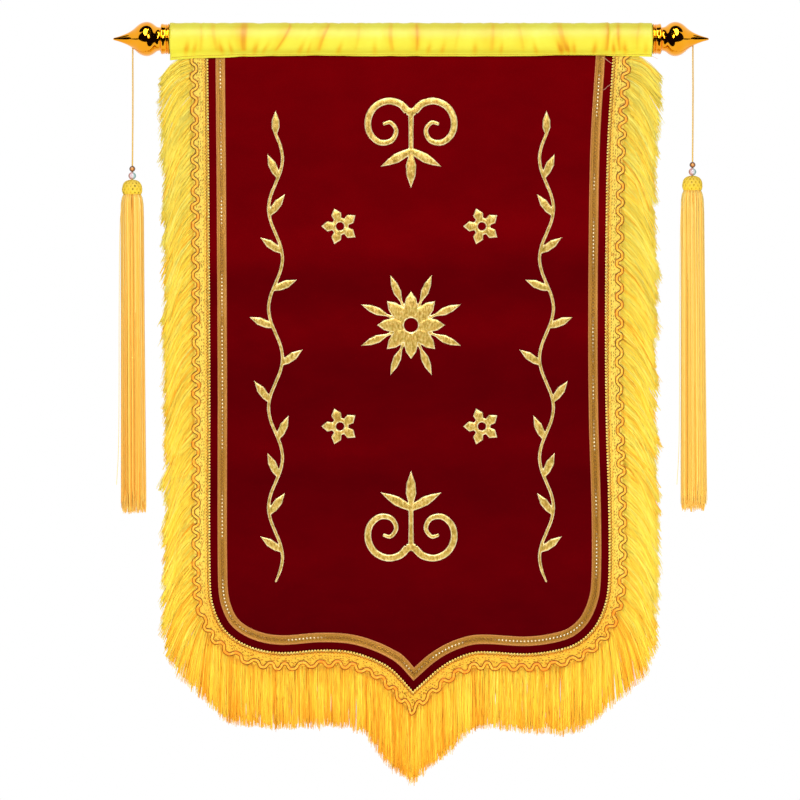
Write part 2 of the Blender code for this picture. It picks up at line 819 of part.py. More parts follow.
def draw_cloud(bm):
    """A cloud head: two lobes curling in, and a bud on a stem between them."""
    half = np.array(CLOUD_HALF, float)
    rows = strip(
        bm, np.concatenate([half[::-1] * (-1, 1), half]), [*CLOUD_WIDTHS[::-1], *CLOUD_WIDTHS]
    )
    middle = len(CLOUD_HALF)
    base = (rows[middle][1], rows[middle - 1][1])
    stem = strip(bm, CLOUD_STEM, CLOUD_STEM_WIDTHS, base)
    for side, turn in ((0, 1), (1, -1)):
        direction = -math.pi / 2 + turn * math.radians(CLOUD_LEAF_ANGLE)
        base = side_edge(stem, CLOUD_LEAF_ROW, side)
        leaf(bm, base, direction, CLOUD_LEAF_REACH, CLOUD_LEAF_WIDTHS)


def draw_flower(bm):
    rosette(bm, FLOWER_RING, FLOWER_SECTORS, ((PETAL_REACH, PETAL_WIDTHS), (BUD_REACH, BUD_WIDTHS)))


def draw_blossom(bm):
    rosette(bm, BLOSSOM_RING, BLOSSOM_SECTORS, (((), ()), (BLOSSOM_REACH, BLOSSOM_WIDTHS)))


def draw_vine(bm):
    """A swinging stem from its foot up, with leaves by turns on its two sides and a bud on top."""
    foot, top = VINE_ENDS
    heights = np.linspace(foot, top, VINE_SEGMENTS + 1)
    swing = VINE_SWING * np.sin(math.tau * VINE_WAVES * (heights - foot) / (top - foot))
    spine = [*zip(swing, heights), *((swing[-1], top + up) for up in VINE_BUD_REACH)]
    widths = [0.55 * VINE_WIDTH] + [VINE_WIDTH] * VINE_SEGMENTS + [*VINE_BUD_WIDTHS]
    rows = strip(bm, spine, widths)
    for turn, k in enumerate(range(2, VINE_SEGMENTS - 1, VINE_LEAF_EVERY)):
        side = turn % 2
        here, ahead = rows[k][side].co, rows[k + 1][side].co
        along = math.atan2(ahead.z - here.z, ahead.x - here.x)
        lean = math.radians(VINE_LEAF_ANGLE) * (-1 if side else 1)
        leaf(bm, side_edge(rows, k, side), along + lean, VINE_LEAF_REACH, VINE_LEAF_WIDTHS)


def make_ornament(name, draw, across, height, size, collection):
    """A flat drawing in millimetres, laid on the velvet and given its thickness.

    size is its scale across and up; a negative one turns it over."""
    bm = bmesh.new()
    draw(bm)
    depth = -(VELVET_THICKNESS / 2 + LAP + ORNAMENT_THICKNESS / 2)
    for v in bm.verts:
        v.co = place((across + v.co.x * size[0]) * MM, (height + v.co.z * size[1]) * MM, depth)
    gold = material(name + "_gold", (0.70, 0.43, 0.12), 0.35, 0.9)
    made = object_from(bm, name, collection, gold)
    solidify(made, ORNAMENT_THICKNESS)
    return made


def make_strung_tassel(name, sway_table, heights, collection, cutters, **shape):
    """One end of the rod: its finial, and the string, beads and tassel that hang from it."""
    amber, clear, head_top = heights
    across = sway_table[0] * MM
    sign = -1 if across < 0 else 1
    under = finial_radius(abs(across) - ROD_HALF_LENGTH)
    cord_top = -(under - CORD_SINK)
    route = cord_route(sway_table, cord_top, head_top - HEAD_BORE_DEPTH + FIT)
    make_finial("finial_" + name, sign, across, cord_top, collection, cutters)
    make_cord("cord_" + name, route, collection)
    amber_gum = material("bead_amber_" + name + "_gum", (0.75, 0.35, 0.08), 0.2)
    glass = material("bead_clear_" + name + "_glass", (0.95, 0.93, 0.97), 0.03, 0.0, 0.9)
    for kind, radius, height, finish in (
        ("amber", AMBER_RADIUS, amber, amber_gum),
        ("clear", CLEAR_RADIUS, clear, glass),
    ):
        where = (cord_across(route, height), 0.0, height)
        make_bead(f"bead_{kind}_{name}", radius, where, collection, finish)
    make_tassel("tassel_" + name, sway_table[-1] * MM, head_top, collection=collection, **shape)


def main():
    remove_scene_objects()
    parts = new_collection(COLLECTION_NAME)
    cutters = new_collection("cutters")
    sides = borders()
    make_rod(parts)
    make_sleeve(parts)
    make_velvet(sides, parts)
    make_tape(sides, parts)
    make_fringe(sides, parts)
    for name, height, way in CLOUDS:
        make_ornament(name, draw_cloud, 0, height, (CLOUD_SIZE, way * CLOUD_SIZE), parts)
    make_ornament("flower", draw_flower, 0, FLOWER_HEIGHT, (1, 1), parts)
    for name, across, height in BLOSSOMS:
        make_ornament(name, draw_blossom, across, height, (BLOSSOM_SIZE, BLOSSOM_SIZE), parts)
    make_ornament("vine_left", draw_vine, -VINE_ACROSS, 0, (1, 1), parts)
    make_ornament("vine_right", draw_vine, VINE_ACROSS, 0, (-1, 1), parts)
    for name, table, heights, foot, sway, seed in STRUNG_TASSELS:
        make_strung_tassel(
            name, table, [h * MM for h in heights], parts, cutters,
            skirt_foot=foot * MM, sway=sway * MM, seed=seed,
        )


main()
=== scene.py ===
"""Looks of the honor banner on its rod: velvet, satin, trims, tassels and raised gold ornaments.

Metres, +Z up, the rod along X with its middle at the origin and the front facing -Y.
"""

import math

import bpy
import numpy as np
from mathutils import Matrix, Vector


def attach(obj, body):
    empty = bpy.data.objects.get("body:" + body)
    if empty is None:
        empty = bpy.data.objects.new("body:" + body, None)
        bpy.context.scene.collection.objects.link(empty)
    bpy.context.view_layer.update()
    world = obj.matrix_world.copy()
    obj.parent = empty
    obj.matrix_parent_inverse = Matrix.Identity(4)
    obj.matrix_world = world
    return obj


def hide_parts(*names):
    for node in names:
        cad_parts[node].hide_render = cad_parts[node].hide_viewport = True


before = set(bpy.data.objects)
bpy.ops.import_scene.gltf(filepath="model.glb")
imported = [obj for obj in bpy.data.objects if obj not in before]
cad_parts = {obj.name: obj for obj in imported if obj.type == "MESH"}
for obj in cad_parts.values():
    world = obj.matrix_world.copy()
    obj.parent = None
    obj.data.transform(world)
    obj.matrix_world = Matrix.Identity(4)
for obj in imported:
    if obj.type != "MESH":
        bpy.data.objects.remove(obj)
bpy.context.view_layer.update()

MM = 0.001

# Camera: level and front on, one pixel of its 800-pixel frame 1.58 mm wide at the banner
PIXEL = 1.58 * MM
FRAME_PIXELS = 800
ROD_PIXEL = (411, 39)
CAMERA_DISTANCE = 8.0
SENSOR = 36.0

# Velvet: the line where its border starts, from the sleeve down to the point, each side
VELVET_THICKNESS = 2.0 * MM
LAP = 0.5 * MM
TRIM_BACK = VELVET_THICKNESS / 2 + LAP * 0.6
LEFT_BORDER = (
    (-320, -24), (-318, -250), (-316.5, -560), (-316, -850), (-311, -896), (-292, -934),
    (-256, -958), (-209, -968), (-141, -964), (-95, -967), (-55, -980), (-28, -996), (3, -1029),
)
RIGHT_BORDER = (
    (318, -24), (309, -180), (306, -430), (307, -600), (311, -740), (311, -850), (306, -890),
    (289, -928), (262, -953), (226, -965), (180, -970), (107, -967), (76, -975), (47, -991),
    (3, -1029),
)
MITRE_OVER = 60.0 * MM
VELVET_UNDER_HEADER = 15.0 * MM
VELVET_COLUMNS = 80
VELVET_ROWS = 120
VELVET_DIP_POWER = 5
# Soft folds left by packing: height, slope, half height and depth
FOLDS = (
    (-305, 0.077, 46, -2.2),
    (-386, 0.030, 42, 1.9),
    (-452, 0.010, 36, -1.4),
    (-539, 0.000, 50, 1.6),
    (-645, 0.005, 36, -1.3),
    (-690, 0.005, 38, 1.2),
    (-823, -0.020, 62, -1.6),
)
# Finer creases in the pile: middle across and up, slope, half length, half height and depth
CREASES_IN_PILE = (
    (0, -645, 0.004, 330, 7, -0.35),
    (205, -106, -0.42, 60, 9, 0.45),
    (238, -150, -0.50, 50, 8, -0.4),
    (-120, -842, 0.30, 90, 14, 0.4),
    (180, -880, 0.45, 80, 12, 0.45),
    (60, -905, -0.25, 70, 10, -0.35),
    (-230, -330, 0.10, 90, 12, 0.35),
)
FOLDS_START = -45.0 * MM
FOLDS_FULL = -150.0 * MM
POINT_CURL = 4.0 * MM
POINT_CURL_FROM = -930.0 * MM
POINT_CURL_OVER = 130.0 * MM
# Shade painted on the velvet: the fold depth for one step of painted fold shade, the height over
# which it darkens towards the bottom, and its base level, how much it darkens towards the bottom
# and how much the folds shade it
FOLD_SHADE_SWING = 2.4 * MM
SHADE_FADE_HEIGHT = 1000.0 * MM
PAINTED_SHADE_LEVELS = (0.76, 0.51, 0.16)

# Satin sleeve
SATIN_THICKNESS = 1.2 * MM
SLEEVE_HALF_WIDTH = 380.5 * MM
SLEEVE_RADIUS = 23.1 * MM
SLEEVE_PUFF = 1.2 * MM
CREASE_BOW = 2.6 * MM
SEAM_HEIGHT = -24.4 * MM
LEAST_LIP = 1.3 * MM
HEM_HEIGHT = -30.5 * MM
SLEEVE_ROUND_FROM = 24
# The sleeve's lower edge, across and up: lower at its left end, drawn up beside the right border
HEM_LINE = (
    (-381, -34.2), (-360, -32.2), (-335, -30.8), (-317, -30.2), (-298, -29.8), (-280, -28.8),
    (-260, -28.0), (-223, -27.2), (-166, -26.5), (-109, -26.5), (-90, -27.2), (5, -27.3),
    (100, -27.5), (156, -27.3), (194, -26.9), (213, -26.3), (232, -25.7), (251, -25.3),
    (270, -25.5), (289, -25.9), (310, -27.0), (345, -27.7), (381, -28.6),
)
SLEEVE_COLUMNS = 256
SLEEVE_ROWS = 36
# Creases: at the hem, at the top, half width, how far it stands out, and how deep the shade painted
# along it is
CREASES = (
    (-340, -336, 16, 1.4, 0.35),
    (-310, -318, 12, 0.5, 0.45),
    (-268, -270, 11, 2.6, 1.0),
    (-222, -196, 12, 1.8, 0.7),
    (-152, -134, 12, 1.9, 0.65),
    (-96, -88, 14, 0.5, 0.25),
    (-33, -36, 11, 2.0, 0.6),
    (5, 4, 10, 2.2, 0.7),
    (62, 70, 16, 0.5, 0.25),
    (120, 124, 16, 1.2, 0.4),
    (172, 164, 12, 0.5, 0.3),
    (240, 228, 12, 1.7, 0.6),
    (304, 307, 9, 2.6, 1.0),
    (326, 322, 10, 1.5, 0.7),
    (352, 356, 12, 0.5, 0.3),
)
# Puckers just above the seam: place, half width and depth, the depth also setting the shade painted
# beside each
PUCKERS = (
    (-358, 5, 0.9), (-345, 4, 0.6), (-300, 5, 0.8), (-284, 4, 0.7), (-250, 5, 0.8),
    (-236, 4, 0.6), (-180, 6, 0.6), (-165, 4, 0.5), (-118, 5, 0.6), (-60, 6, 0.5),
    (24, 5, 0.6), (46, 5, 0.5), (98, 6, 0.6), (140, 4, 0.5), (196, 5, 0.6), (236, 5, 1.0),
    (247, 4, 0.9), (256, 4, 0.7), (286, 5, 0.8), (318, 4, 1.0), (336, 5, 0.8), (368, 5, 0.5),
)
STITCH_PITCH = 3.3 * MM
STITCH_LENGTH = 2.5 * MM
STITCH_RADIUS = 0.36 * MM
STITCHES_ABOVE_HEM = 3.6 * MM
# A stitch's places along its length, and how far it rises there in shares of its radius
STITCH_REACH = (-0.5, -0.42, 0.0, 0.42, 0.5)
STITCH_RISE = (0.9, -0.15, -0.35, -0.15, 0.9)

# Loose threads: two at the upper right corner and one at the sleeve's end
LOOSE_THREAD_RADIUS = 0.28 * MM
LOOSE_THREADS = (
    ("upper", ((302, -5.2, -29), (306, -6, -31), (311, -6.4, -35), (317, -6.2, -39))),
    ("lower", ((303.5, -3.2, -81), (307, -4.4, -78.5), (310, -5.4, -75.5), (314.5, -6, -72.5))),
    ("end", ((378, -8, -27), (382, -9, -28.4), (386, -9.4, -30.4), (389.5, -9, -32.4))),
)

# Gold tape: its outline from edge to edge as places across and heights, its back, where its
# rims begin, and the outline of a bright dot as heights and radii
TAPE_INSET = 11.0 * MM
TAPE_WIDTH = 15.0 * MM
TAPE_THICKNESS = 1.0 * MM
TAPE_OUTLINE = (
    (0, 0.2), (0.25, 0.75), (1.0, 1.0), (1.9, 0.8), (2.5, 0.5), (3.6, 0.62), (5.5, 0.5),
    (7.5, 0.62), (9.5, 0.5), (11.4, 0.62), (12.5, 0.5), (13.1, 0.8), (14.0, 1.0),
    (14.75, 0.75), (15.0, 0.2),
)
TAPE_BACK = (15.0, 11.4, 3.6, 0.0)
TAPE_RIMS = (2.5 * MM, 1.4 * MM)
STRIP_STATIONS = 3.4 * MM
CHAIN_PITCH = 11.6 * MM
CHAIN_SWING = 2.5 * MM
DOT_OUTLINE = ((0.0, 1.35), (0.35, 1.3), (0.7, 0.85), (0.85, 0.25))
DOT_SIDES = 7

# Fringe's header
HEADER_WIDTH = 28.0 * MM
HEADER_THICKNESS = 2.4 * MM
# Its outline as places across and heights, where its ribs lie, and its back
HEADER_OUTLINE = ((3.4, 0.8), (3.6, 1.3), (4.0, 1.7), (18, 1.8), (26.5, 1.6), (28, 1.1))
HEADER_RIBS = (4.6, 27.0)
HEADER_RIB_PITCH = 3.4
HEADER_RIB_HEIGHT = 0.5
HEADER_BACK = (28.0, 19.0, 9.0, 3.4)
HEADER_STITCH_COLUMNS = (10.4, 13.8, 17.2)
HEADER_STITCH_SHARE = 0.55
WAVE_OUT = 22.9 * MM
WAVE_SWING = 4.7 * MM
WAVE_PITCH = 26.5 * MM
WAVE_HALF_WIDTH = 2.5 * MM
PICOT_PITCH = 4.75 * MM
PICOT_RADIUS = 1.1 * MM

# Fringe's silk
STRAND_SPACING = 0.255 * MM
STRAND_RADIUS = 0.51 * MM
STRAND_LENGTH = 94.0 * MM
STREAK_WIDTH = 1.2 * MM
TUFT_WIDTH = 9.0 * MM
LOCK_WIDTH = 2.6 * MM
# Places along a strand, and how thick it is there
STRAND_SHARES = (0.0, 0.12, 0.32, 0.56, 0.80, 1.0)
STRAND_TAPER = (0.9, 1.0, 1.0, 1.0, 0.95, 0.65)
BACKING_THICKER = 2.4
SILK_TINT = (1.0, 0.80, 0.35, 1.0)
# Shares of the strands that are behind, laid over, astray, cut short, and in darker streaks of
# painted shade
BACKING_SHARE = 0.40
OVER_SHARE = 0.45
WILD_SHARE = 0.005
SHORT_SHARE = 0.10
SHORT_BY = (4, 22)
SHADE_STREAK_SHARE = 0.13
SIDE_LEAN = (49, 23)
TOP_LEAN = (86, 42)
LEAN_ENDS = (-885.0 * MM, -962.0 * MM)
TOP_LOCKS_ABOVE = -90.0 * MM
TOP_LOCKS_SHORT = 0.32
POINT_EXTRA = 14 * MM
POINT_WITHIN = (88 * MM, 26 * MM)
# Longer strands, in millimetres: place across, half width and extra length
CORNER_EXTRAS = ((-296, 32, 13), (274, 72, 16), (-36, 22, 12), (66, 20, 12))
# More lean on each side, in degrees, and the heights over which it comes and goes
LEAN_MORE = {-1: -2.0, 1: 4.5}
LEAN_MORE_FROM = (-0.22, -0.32)
LEAN_MORE_TO = (-0.84, -0.74)

# Tassels
CORD_RADIUS = 1.25 * MM
CORD_SINK = 4.0 * MM
TWIST_PITCH = 9.0 * MM
CORD_LEFT = (-439.6, -439.6, -439.6, -439.5, -439.5, -439.4, -439.5, -439.5,
             -439.6, -439.7, -439.8, -439.9, -440.1, -440.4, -440.6)
CORD_RIGHT = (445.4, 445.4, 445.4, 445.5, 445.6, 445.6, 445.5, 445.4,
              445.4, 445.3, 445.2, 445.1, 444.9, 444.7, 444.5)
AMBER_RADIUS = 4.75 * MM
CLEAR_RADIUS = 6.0 * MM
BEAD_BORE_RADIUS = 1.5 * MM
HEAD_FOOT = 26.0 * MM
HEAD_BORE_DEPTH = 2.6 * MM
# Depth below the head's top and radius there, and its diamond net
HEAD_OUTLINE = (
    (2.2, 1.3), (0.6, 1.4), (0.0, 2.4), (0.6, 6.0), (2.4, 10.2), (5.0, 12.9), (8.5, 14.7),
    (12.5, 15.6), (16.5, 15.9), (20.0, 15.3), (22.3, 14.4), (23.2, 13.2), (23.0, 11.0),
)
HEAD_SIDES = 132
HEAD_KNOTS = 13
HEAD_NET_PITCH = 5.2 * MM
# Shares of the skirt's length and its radius there
SKIRT_OUTLINE = (
    (0.0, 12.5), (0.014, 15.8), (0.03, 17.4), (0.055, 18.0), (0.6, 18.4), (1.0, 19.4),
)
# Places down a skirt's strand, how freely it hangs there and how thick it is
SKIRT_SHARES = (0.0, 0.016, 0.035, 0.08, 0.4, 0.945, 1.0)
SKIRT_FREE = (0, 0, 0.05, 0.15, 0.5, 0.8, 1.1)
SKIRT_TAPER = (1.0, 1.0, 1.0, 1.0, 1.0, 1.0, 0.6)
SKIRT_RADIUS = 0.68 * MM
SKIRT_CORE_RADIUS = 1.5 * MM
# The parting in a skirt's front: its place round the skirt and how wide it is
PARTING_AT = 1.5 * math.pi
PARTING_WIDE = 0.07
SKIRT_STRANDS = 1150
SKIRT_CORE_STRANDS = 160
SKIRT_LOCKS = 56
SKIRT_TUFTS = 19
TASSELS = (
    # side, string, heights of amber bead, clear bead and head, skirt's foot and sway, seed
    ("left", CORD_LEFT, (-205.2, -216.2, -222.4), -745, 2.8, 1),
    ("right", CORD_RIGHT, (-198.9, -209.9, -216.1), -742, 1.9, 2),
)

# Finial: distance out from the rod's end, and radius there, from the tip inwards
ROD_HALF_LENGTH = 381.0 * MM
SPIGOT_RADIUS = 12.0 * MM
SPIGOT_LENGTH = 28.0 * MM
FINIAL_SIDES = 72
FINIAL_PROFILE = (
    (89.5, 0.4), (88.9, 1.5), (86.0, 2.4), (78.8, 4.6), (67.2, 9.3), (58.5, 14.7), (49.0, 22.9),
    (42.5, 26.2), (36.3, 27.2), (30.5, 26.1), (26.4, 24.0), (20.8, 19.8), (17.6, 18.7),
    (15.4, 18.9), (14.6, 20.2), (13.9, 23.0), (13.0, 24.0), (11.4, 24.15), (8.8, 23.4),
    (6.4, 23.3), (5.4, 24.0), (4.8, 23.4), (4.3, 22.5), (3.6, 22.6), (3.0, 24.0), (1.4, 24.1),
    (0.6, 23.6),
)

# Raised gold ornaments, in millimetres round their own middles
CLOUD_HALF = (
    (4.5, 34), (14, 43), (29, 46), (44, 39), (52, 24), (50, 7), (38, -4), (24, -2), (18, 10),
    (25, 20), (34, 18),
)
CLOUD_WIDTHS = (9.5, 9, 8.5, 8.5, 8.5, 8, 7.5, 6.5, 5.5, 5, 4)
CLOUD_BRIDGE = ((-4.5, 34), (0, 32.5), (4.5, 34))
CLOUD_BRIDGE_WIDTHS = (9.5, 9.5, 9.5)
CLOUD_STEM = ((0, 30), (0, 8), (0, -8), (0, -20), (0, -32), (0, -45), (0, -60))
CLOUD_STEM_WIDTHS = (7, 6, 6, 6, 13, 11, 0)
CLOUD_LEAF_FROM = (0, -14)
CLOUD_LEAF_ANGLE = 62
CLOUD_LEAF_REACH = (0, 9, 20, 30, 42)
CLOUD_LEAF_WIDTHS = (7, 10, 12, 8, 0)
CLOUD_SIZE = 1.3
CLOUDS = (("cloud_upper", -158, 1), ("cloud_lower", -760, -1))
FLOWER_HEIGHT = -452
FLOWER_RAYS = 16
FLOWER_RING = (16, 10)
PETAL_REACH = (13, 26, 42, 54)
PETAL_WIDTHS = (11, 24, 17, 0)
BUD_REACH = (18, 42, 56, 70, 86)
BUD_WIDTHS = (5, 4.5, 13, 11, 0)
BLOSSOM_REACH = (6, 16, 24)
BLOSSOM_WIDTHS = (8, 13.5, 0)
BLOSSOM_SIZE = 1.25
BLOSSOM_RING = (8, 6)
BLOSSOMS = (
    ("blossom_upper_left", -112, -296),
    ("blossom_upper_right", 112, -296),
    ("blossom_lower_left", -112, -612),
    ("blossom_lower_right", 112, -612),
)
VINE_ACROSS = 214
VINE_ENDS = (-858, -150)
VINE_SWING = 11
VINE_WAVES = 4.5
VINE_SEGMENTS = 36
VINE_WIDTH = 5.2
VINE_LEAF_ANGLE = 46
VINE_LEAF_REACH = (0, 10, 24, 41)
VINE_LEAF_WIDTHS = (5, 12, 13, 0)
VINE_BUD_REACH = (0, 10, 22, 37)
VINE_BUD_WIDTHS = (5, 13, 12, 0)
PUFF_VOXEL = 0.75 * MM
PUFF_HEIGHT = 4.2 * MM
PUFF_ROUND = 3.8 * MM
PUFF_KEPT = 0.22
RIM_HIGHLIGHT_FACING = (0.82, 0.965)
ORNAMENT_LIFT = 0.35 * MM

# Studio: each light's place, aim, size and power, the strength of the world's light, and the
# cards that the gold reflects, with each one's place, size and tilt
LIGHTS = (
    ("upper_light", (-0.5, -3.4, 1.9), (0.0, 0.0, -0.35), (2.4, 1.6), 60),
    ("lower_light", (0.3, -1.9, -2.3), (0.0, 0.0, -0.95), (2.6, 1.4), 56),
)
WORLD_LIGHT = 0.62
DARK_CARDS = (
    ("dark_screen", (0.0, -6.0, 2.3), (38.0, 10.0), 90),
    ("dark_ceiling", (0.0, -2.6, 7.0), (20.0, 7.0), 0),
    ("dark_centre", (0.0, -2.33, 0.15), (3.2, 4.54), 0),
)
BRIGHT_CARDS = (
    ("bright_card", (0.80, -2.1, 2.1), (2.0, 2.7), 45),
    ("middle_card", (0.10, -0.70, 0.20), (0.18, 0.34), 90),
)
CARD_STRENGTH = 8.0
FLOOR_RADIUS = 1.25
FLOOR_HEIGHT = -1.42


def smooth_line(points, steps=24):
    """A smooth curve through the points, as an array of closely spaced points."""
    p = np.array(points, float)
    at = np.concatenate([[0.0], np.cumsum(np.linalg.norm(np.diff(p, axis=0), axis=1))])
    slope = np.empty_like(p)
    slope[1:-1] = (p[2:] - p[:-2]) / (at[2:] - at[:-2])[:, None]
    slope[0] = (p[1] - p[0]) / (at[1] - at[0])
    slope[-1] = (p[-1] - p[-2]) / (at[-1] - at[-2])
    found = []
    for i in range(len(p) - 1):
        span = at[i + 1] - at[i]
        t = np.linspace(0.0, 1.0, steps, endpoint=False)[:, None]
        found.append(
            (2 * t**3 - 3 * t**2 + 1) * p[i]
            + (t**3 - 2 * t**2 + t) * span * slope[i]
            + (3 * t**2 - 2 * t**3) * p[i + 1]
            + (t**3 - t**2) * span * slope[i + 1]
        )
    return np.concatenate([*found, p[-1:]])


def run_of(line):
    """The distance along a line to each of its points."""
    return np.concatenate([[0.0], np.cumsum(np.linalg.norm(np.diff(line, axis=0), axis=1))])


def spread(values, along, count):
    """Values at points evenly spaced along a line, its two ends included."""
    at = np.linspace(along[0], along[-1], count + 1)
    return np.stack([np.interp(at, along, values[:, k]) for k in range(values.shape[1])], axis=1)


def smoothstep(low, high, value):
    t = np.clip((value - low) / (high - low), 0.0, 1.0)
    return t * t * (3 - 2 * t)


def unit(vectors):
    return vectors / np.linalg.norm(vectors, axis=-1, keepdims=True)


def drift(x, z):
    """How far back the hanging velvet's middle plane lies at places across and up."""
    y = np.zeros_like(z)
    for height, slope, half, depth in FOLDS:
        off = (z - height * MM - slope * x) / (half * MM)
        y = y + depth * MM * np.exp(-off * off)
    for across, height, slope, long, half, depth in CREASES_IN_PILE:
        off = (z - height * MM - slope * (x - across * MM)) / (half * MM)
        far = (x - across * MM) / (long * MM)
        y = y + depth * MM * np.exp(-off * off - far * far)
    below = np.maximum(0.0, (POINT_CURL_FROM - z) / POINT_CURL_OVER)
    return smoothstep(FOLDS_START, FOLDS_FULL, z) * y - POINT_CURL * below * below


def lay(flat, depth=0.0):
    """Flat (across, up) points laid on the hanging velvet, that far behind its middle plane."""
    x, z = flat[..., 0], flat[..., 1]
    return np.stack([x, drift(x, z) + depth, z], axis=-1)


def sewn_on(flat, height=0.0):
    """Flat points laid on the velvet's front, where the trims are sewn, raised by a height."""
    return lay(flat, -(TRIM_BACK + height))


def border_sides():
    """Each side's border line and ways outwards, mitred at the lower point."""
    sides = {}
    for sign, points in ((-1, LEFT_BORDER), (1, RIGHT_BORDER)):
        line = smooth_line(np.array(points) * MM)
        along = unit(np.gradient(line, axis=0))
        sides[sign] = (line, sign * np.stack([-along[:, 1], along[:, 0]], axis=1))
    ends = sides[-1][1][-1], sides[1][1][-1]
    corner = (ends[0] + ends[1]) / (1 + float(ends[0] @ ends[1]))
    for sign, (line, outward) in sides.items():
        run = run_of(line)
        share = np.clip(1 - (run[-1] - run) / MITRE_OVER, 0, 1)[:, None]
        sides[sign] = (line, outward + share * (corner - outward[-1]))
    return sides


SIDES = border_sides()


def round_border(out, spacing):
    """Places evenly spaced down the left side and up the right: points, ways outwards and run."""
    halves = []
    for sign in (-1, 1):
        line, outward = SIDES[sign]
        run = run_of(line + outward * out)
        both = np.concatenate([line, outward], axis=1)
        halves.append(spread(both, run, round(run[-1] / spacing)))
    whole = np.concatenate([halves[0], halves[1][-2::-1]])
    points, ways = whole[:, :2], whole[:, 2:]
    return points, ways, run_of(points + ways * out)


def grid_faces(rows, columns, closed=False):
    """The four-sided faces of a grid of points, joined round each row where closed."""
    i = np.arange(rows - 1)[:, None] * columns
    j = np.arange(columns if closed else columns - 1)
    a, b = i + j, i + (j + 1) % columns
    return np.stack([a, b, b + columns, a + columns], axis=-1).reshape(-1, 4)


def add_object(name, data):
    made = bpy.data.objects.new(name, data)
    bpy.context.scene.collection.objects.link(made)
    return made


def mesh_piece(name, points, faces, material, sharp=None):
    """A new object from an array of points and a list of face arrays, shaded smooth."""
    mesh = bpy.data.meshes.new(name)
    mesh.vertices.add(len(points))
    mesh.vertices.foreach_set("co", np.asarray(points, np.float32).ravel())
    corners = np.concatenate([f.ravel() for f in faces])
    sizes = np.concatenate([np.full(len(f), f.shape[1]) for f in faces])
    mesh.loops.add(len(corners))
    mesh.loops.foreach_set("vertex_index", corners.astype(np.int32))
    mesh.polygons.add(len(sizes))
    mesh.polygons.foreach_set("loop_start", (np.cumsum(sizes) - sizes).astype(np.int32))
    mesh.polygons.foreach_set("loop_total", sizes.astype(np.int32))
    mesh.update(calc_edges=True)
    mesh.shade_smooth()
    if sharp:
        mesh.set_sharp_from_angle(angle=math.radians(sharp))
    mesh.materials.append(material)
    return add_object(name, mesh)


def paint(piece, name, values):
    """Stores a number at each point of the piece, for its material to read."""
    attribute = piece.data.attributes.new(name, "FLOAT", "POINT")
    attribute.data.foreach_set("value", np.asarray(values, np.float32).ravel())


def map_flat(piece, across, along):
    """A UV map from each point's place across and along the piece, in metres."""
    layer = piece.data.uv_layers.new(name="UVMap")
    corners = np.empty(len(piece.data.loops), np.int32)
    piece.data.loops.foreach_get("vertex_index", corners)
    uv = np.stack([np.ravel(across)[corners], np.ravel(along)[corners]], axis=1)
    layer.data.foreach_set("uv", uv.astype(np.float32).ravel())


def volume(points, faces):
    """The space inside a closed mesh, below zero where its faces point inwards."""
    total = 0.0
    for f in faces:
        p = points[f]
        for k in range(1, f.shape[1] - 1):
            total += np.einsum("ij,ij->i", p[:, 0], np.cross(p[:, k], p[:, k + 1])).sum()
    return total / 6


def closed_piece(name, points, faces, material, sharp=None):
    """A closed piece, its faces turned to point out."""
    if volume(points, faces) < 0:
        faces = [f[:, ::-1] for f in faces]
    return mesh_piece(name, points, faces, material, sharp)


def loft(name, rings, material, sharp=None):
    """A closed piece through rings of points, capped at both ends."""
    n, m, _ = rings.shape
    cap = np.arange(m)[None]
    faces = [grid_faces(n, m, closed=True), cap[:, ::-1], cap + (n - 1) * m]
    return closed_piece(name, rings.reshape(-1, 3), faces, material, sharp)


def tubes(name, paths, radii, material, sides=3, flat=1.0, **painted):
    """Closed thin tubes along many paths at once, as one piece.

    paths holds (tubes, points, 3). radii, and what is painted on the tubes, are a number each or
    an array that goes with (tubes, points). flat is their depth as a share of their width."""
    n, k, _ = paths.shape
    along = unit(np.gradient(paths, axis=1))
    side = unit(np.cross(along, (0.0, 1.0, 0.0)))
    up = np.cross(side, along) * flat
    turns = math.tau * (np.arange(sides) + 0.25) / sides
    ring = side[:, :, None] * np.cos(turns)[:, None] + up[:, :, None] * np.sin(turns)[:, None]
    radii = np.broadcast_to(radii, (n, k))
    points = (paths[:, :, None] + ring * radii[:, :, None, None]).reshape(-1, 3)
    starts = (np.arange(n) * k * sides)[:, None, None]
    walls = starts + grid_faces(k, sides, closed=True)[:, ::-1]
    caps = np.arange(sides)
    first = starts[:, 0] + caps
    last = starts[:, 0] + (k - 1) * sides + caps[::-1]
    piece = mesh_piece(name, points, [walls.reshape(-1, 4), first, last], material)
    for key, values in painted.items():
        paint(piece, key, np.repeat(np.broadcast_to(values, (n, k)), sides, axis=1))
    return piece


def places_of(piece):
    points = np.empty(len(piece.data.vertices) * 3, np.float32)
    piece.data.vertices.foreach_get("co", points)
    return points.reshape(-1, 3).astype(float)


def set_places(piece, points):
    piece.data.vertices.foreach_set("co", points.astype(np.float32).ravel())
    piece.data.update()


def copy_of(pattern, name, across=0.0, height=0.0, flip=(1, 1)):
    """A copy with its own mesh, moved over the banner's face, mirrored where flip is -1."""
    piece = add_object(name, pattern.data.copy())
    points = places_of(piece)
    points[:, 0] = points[:, 0] * flip[0] + across
    points[:, 2] = points[:, 2] * flip[1] + height
    set_places(piece, points)
    if flip[0] * flip[1] < 0:
        piece.data.flip_normals()
    return piece


def wear(piece, slot, *nodes):
    """Sets a finished piece on the object, in place of its CAD nodes."""
    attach(piece, "root")
    if nodes:
        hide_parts(*nodes)
    return piece


def deselect():
    bpy.ops.object.select_all(action="DESELECT")


def activate(piece):
    deselect()
    piece.select_set(True)
    bpy.context.view_layer.objects.active = piece


def apply_modifier(piece, kind, **settings):
    activate(piece)
    modifier = piece.modifiers.new(kind.lower(), kind)
    for key, value in settings.items():
        setattr(modifier, key, value)
    bpy.ops.object.modifier_apply(modifier=modifier.name)


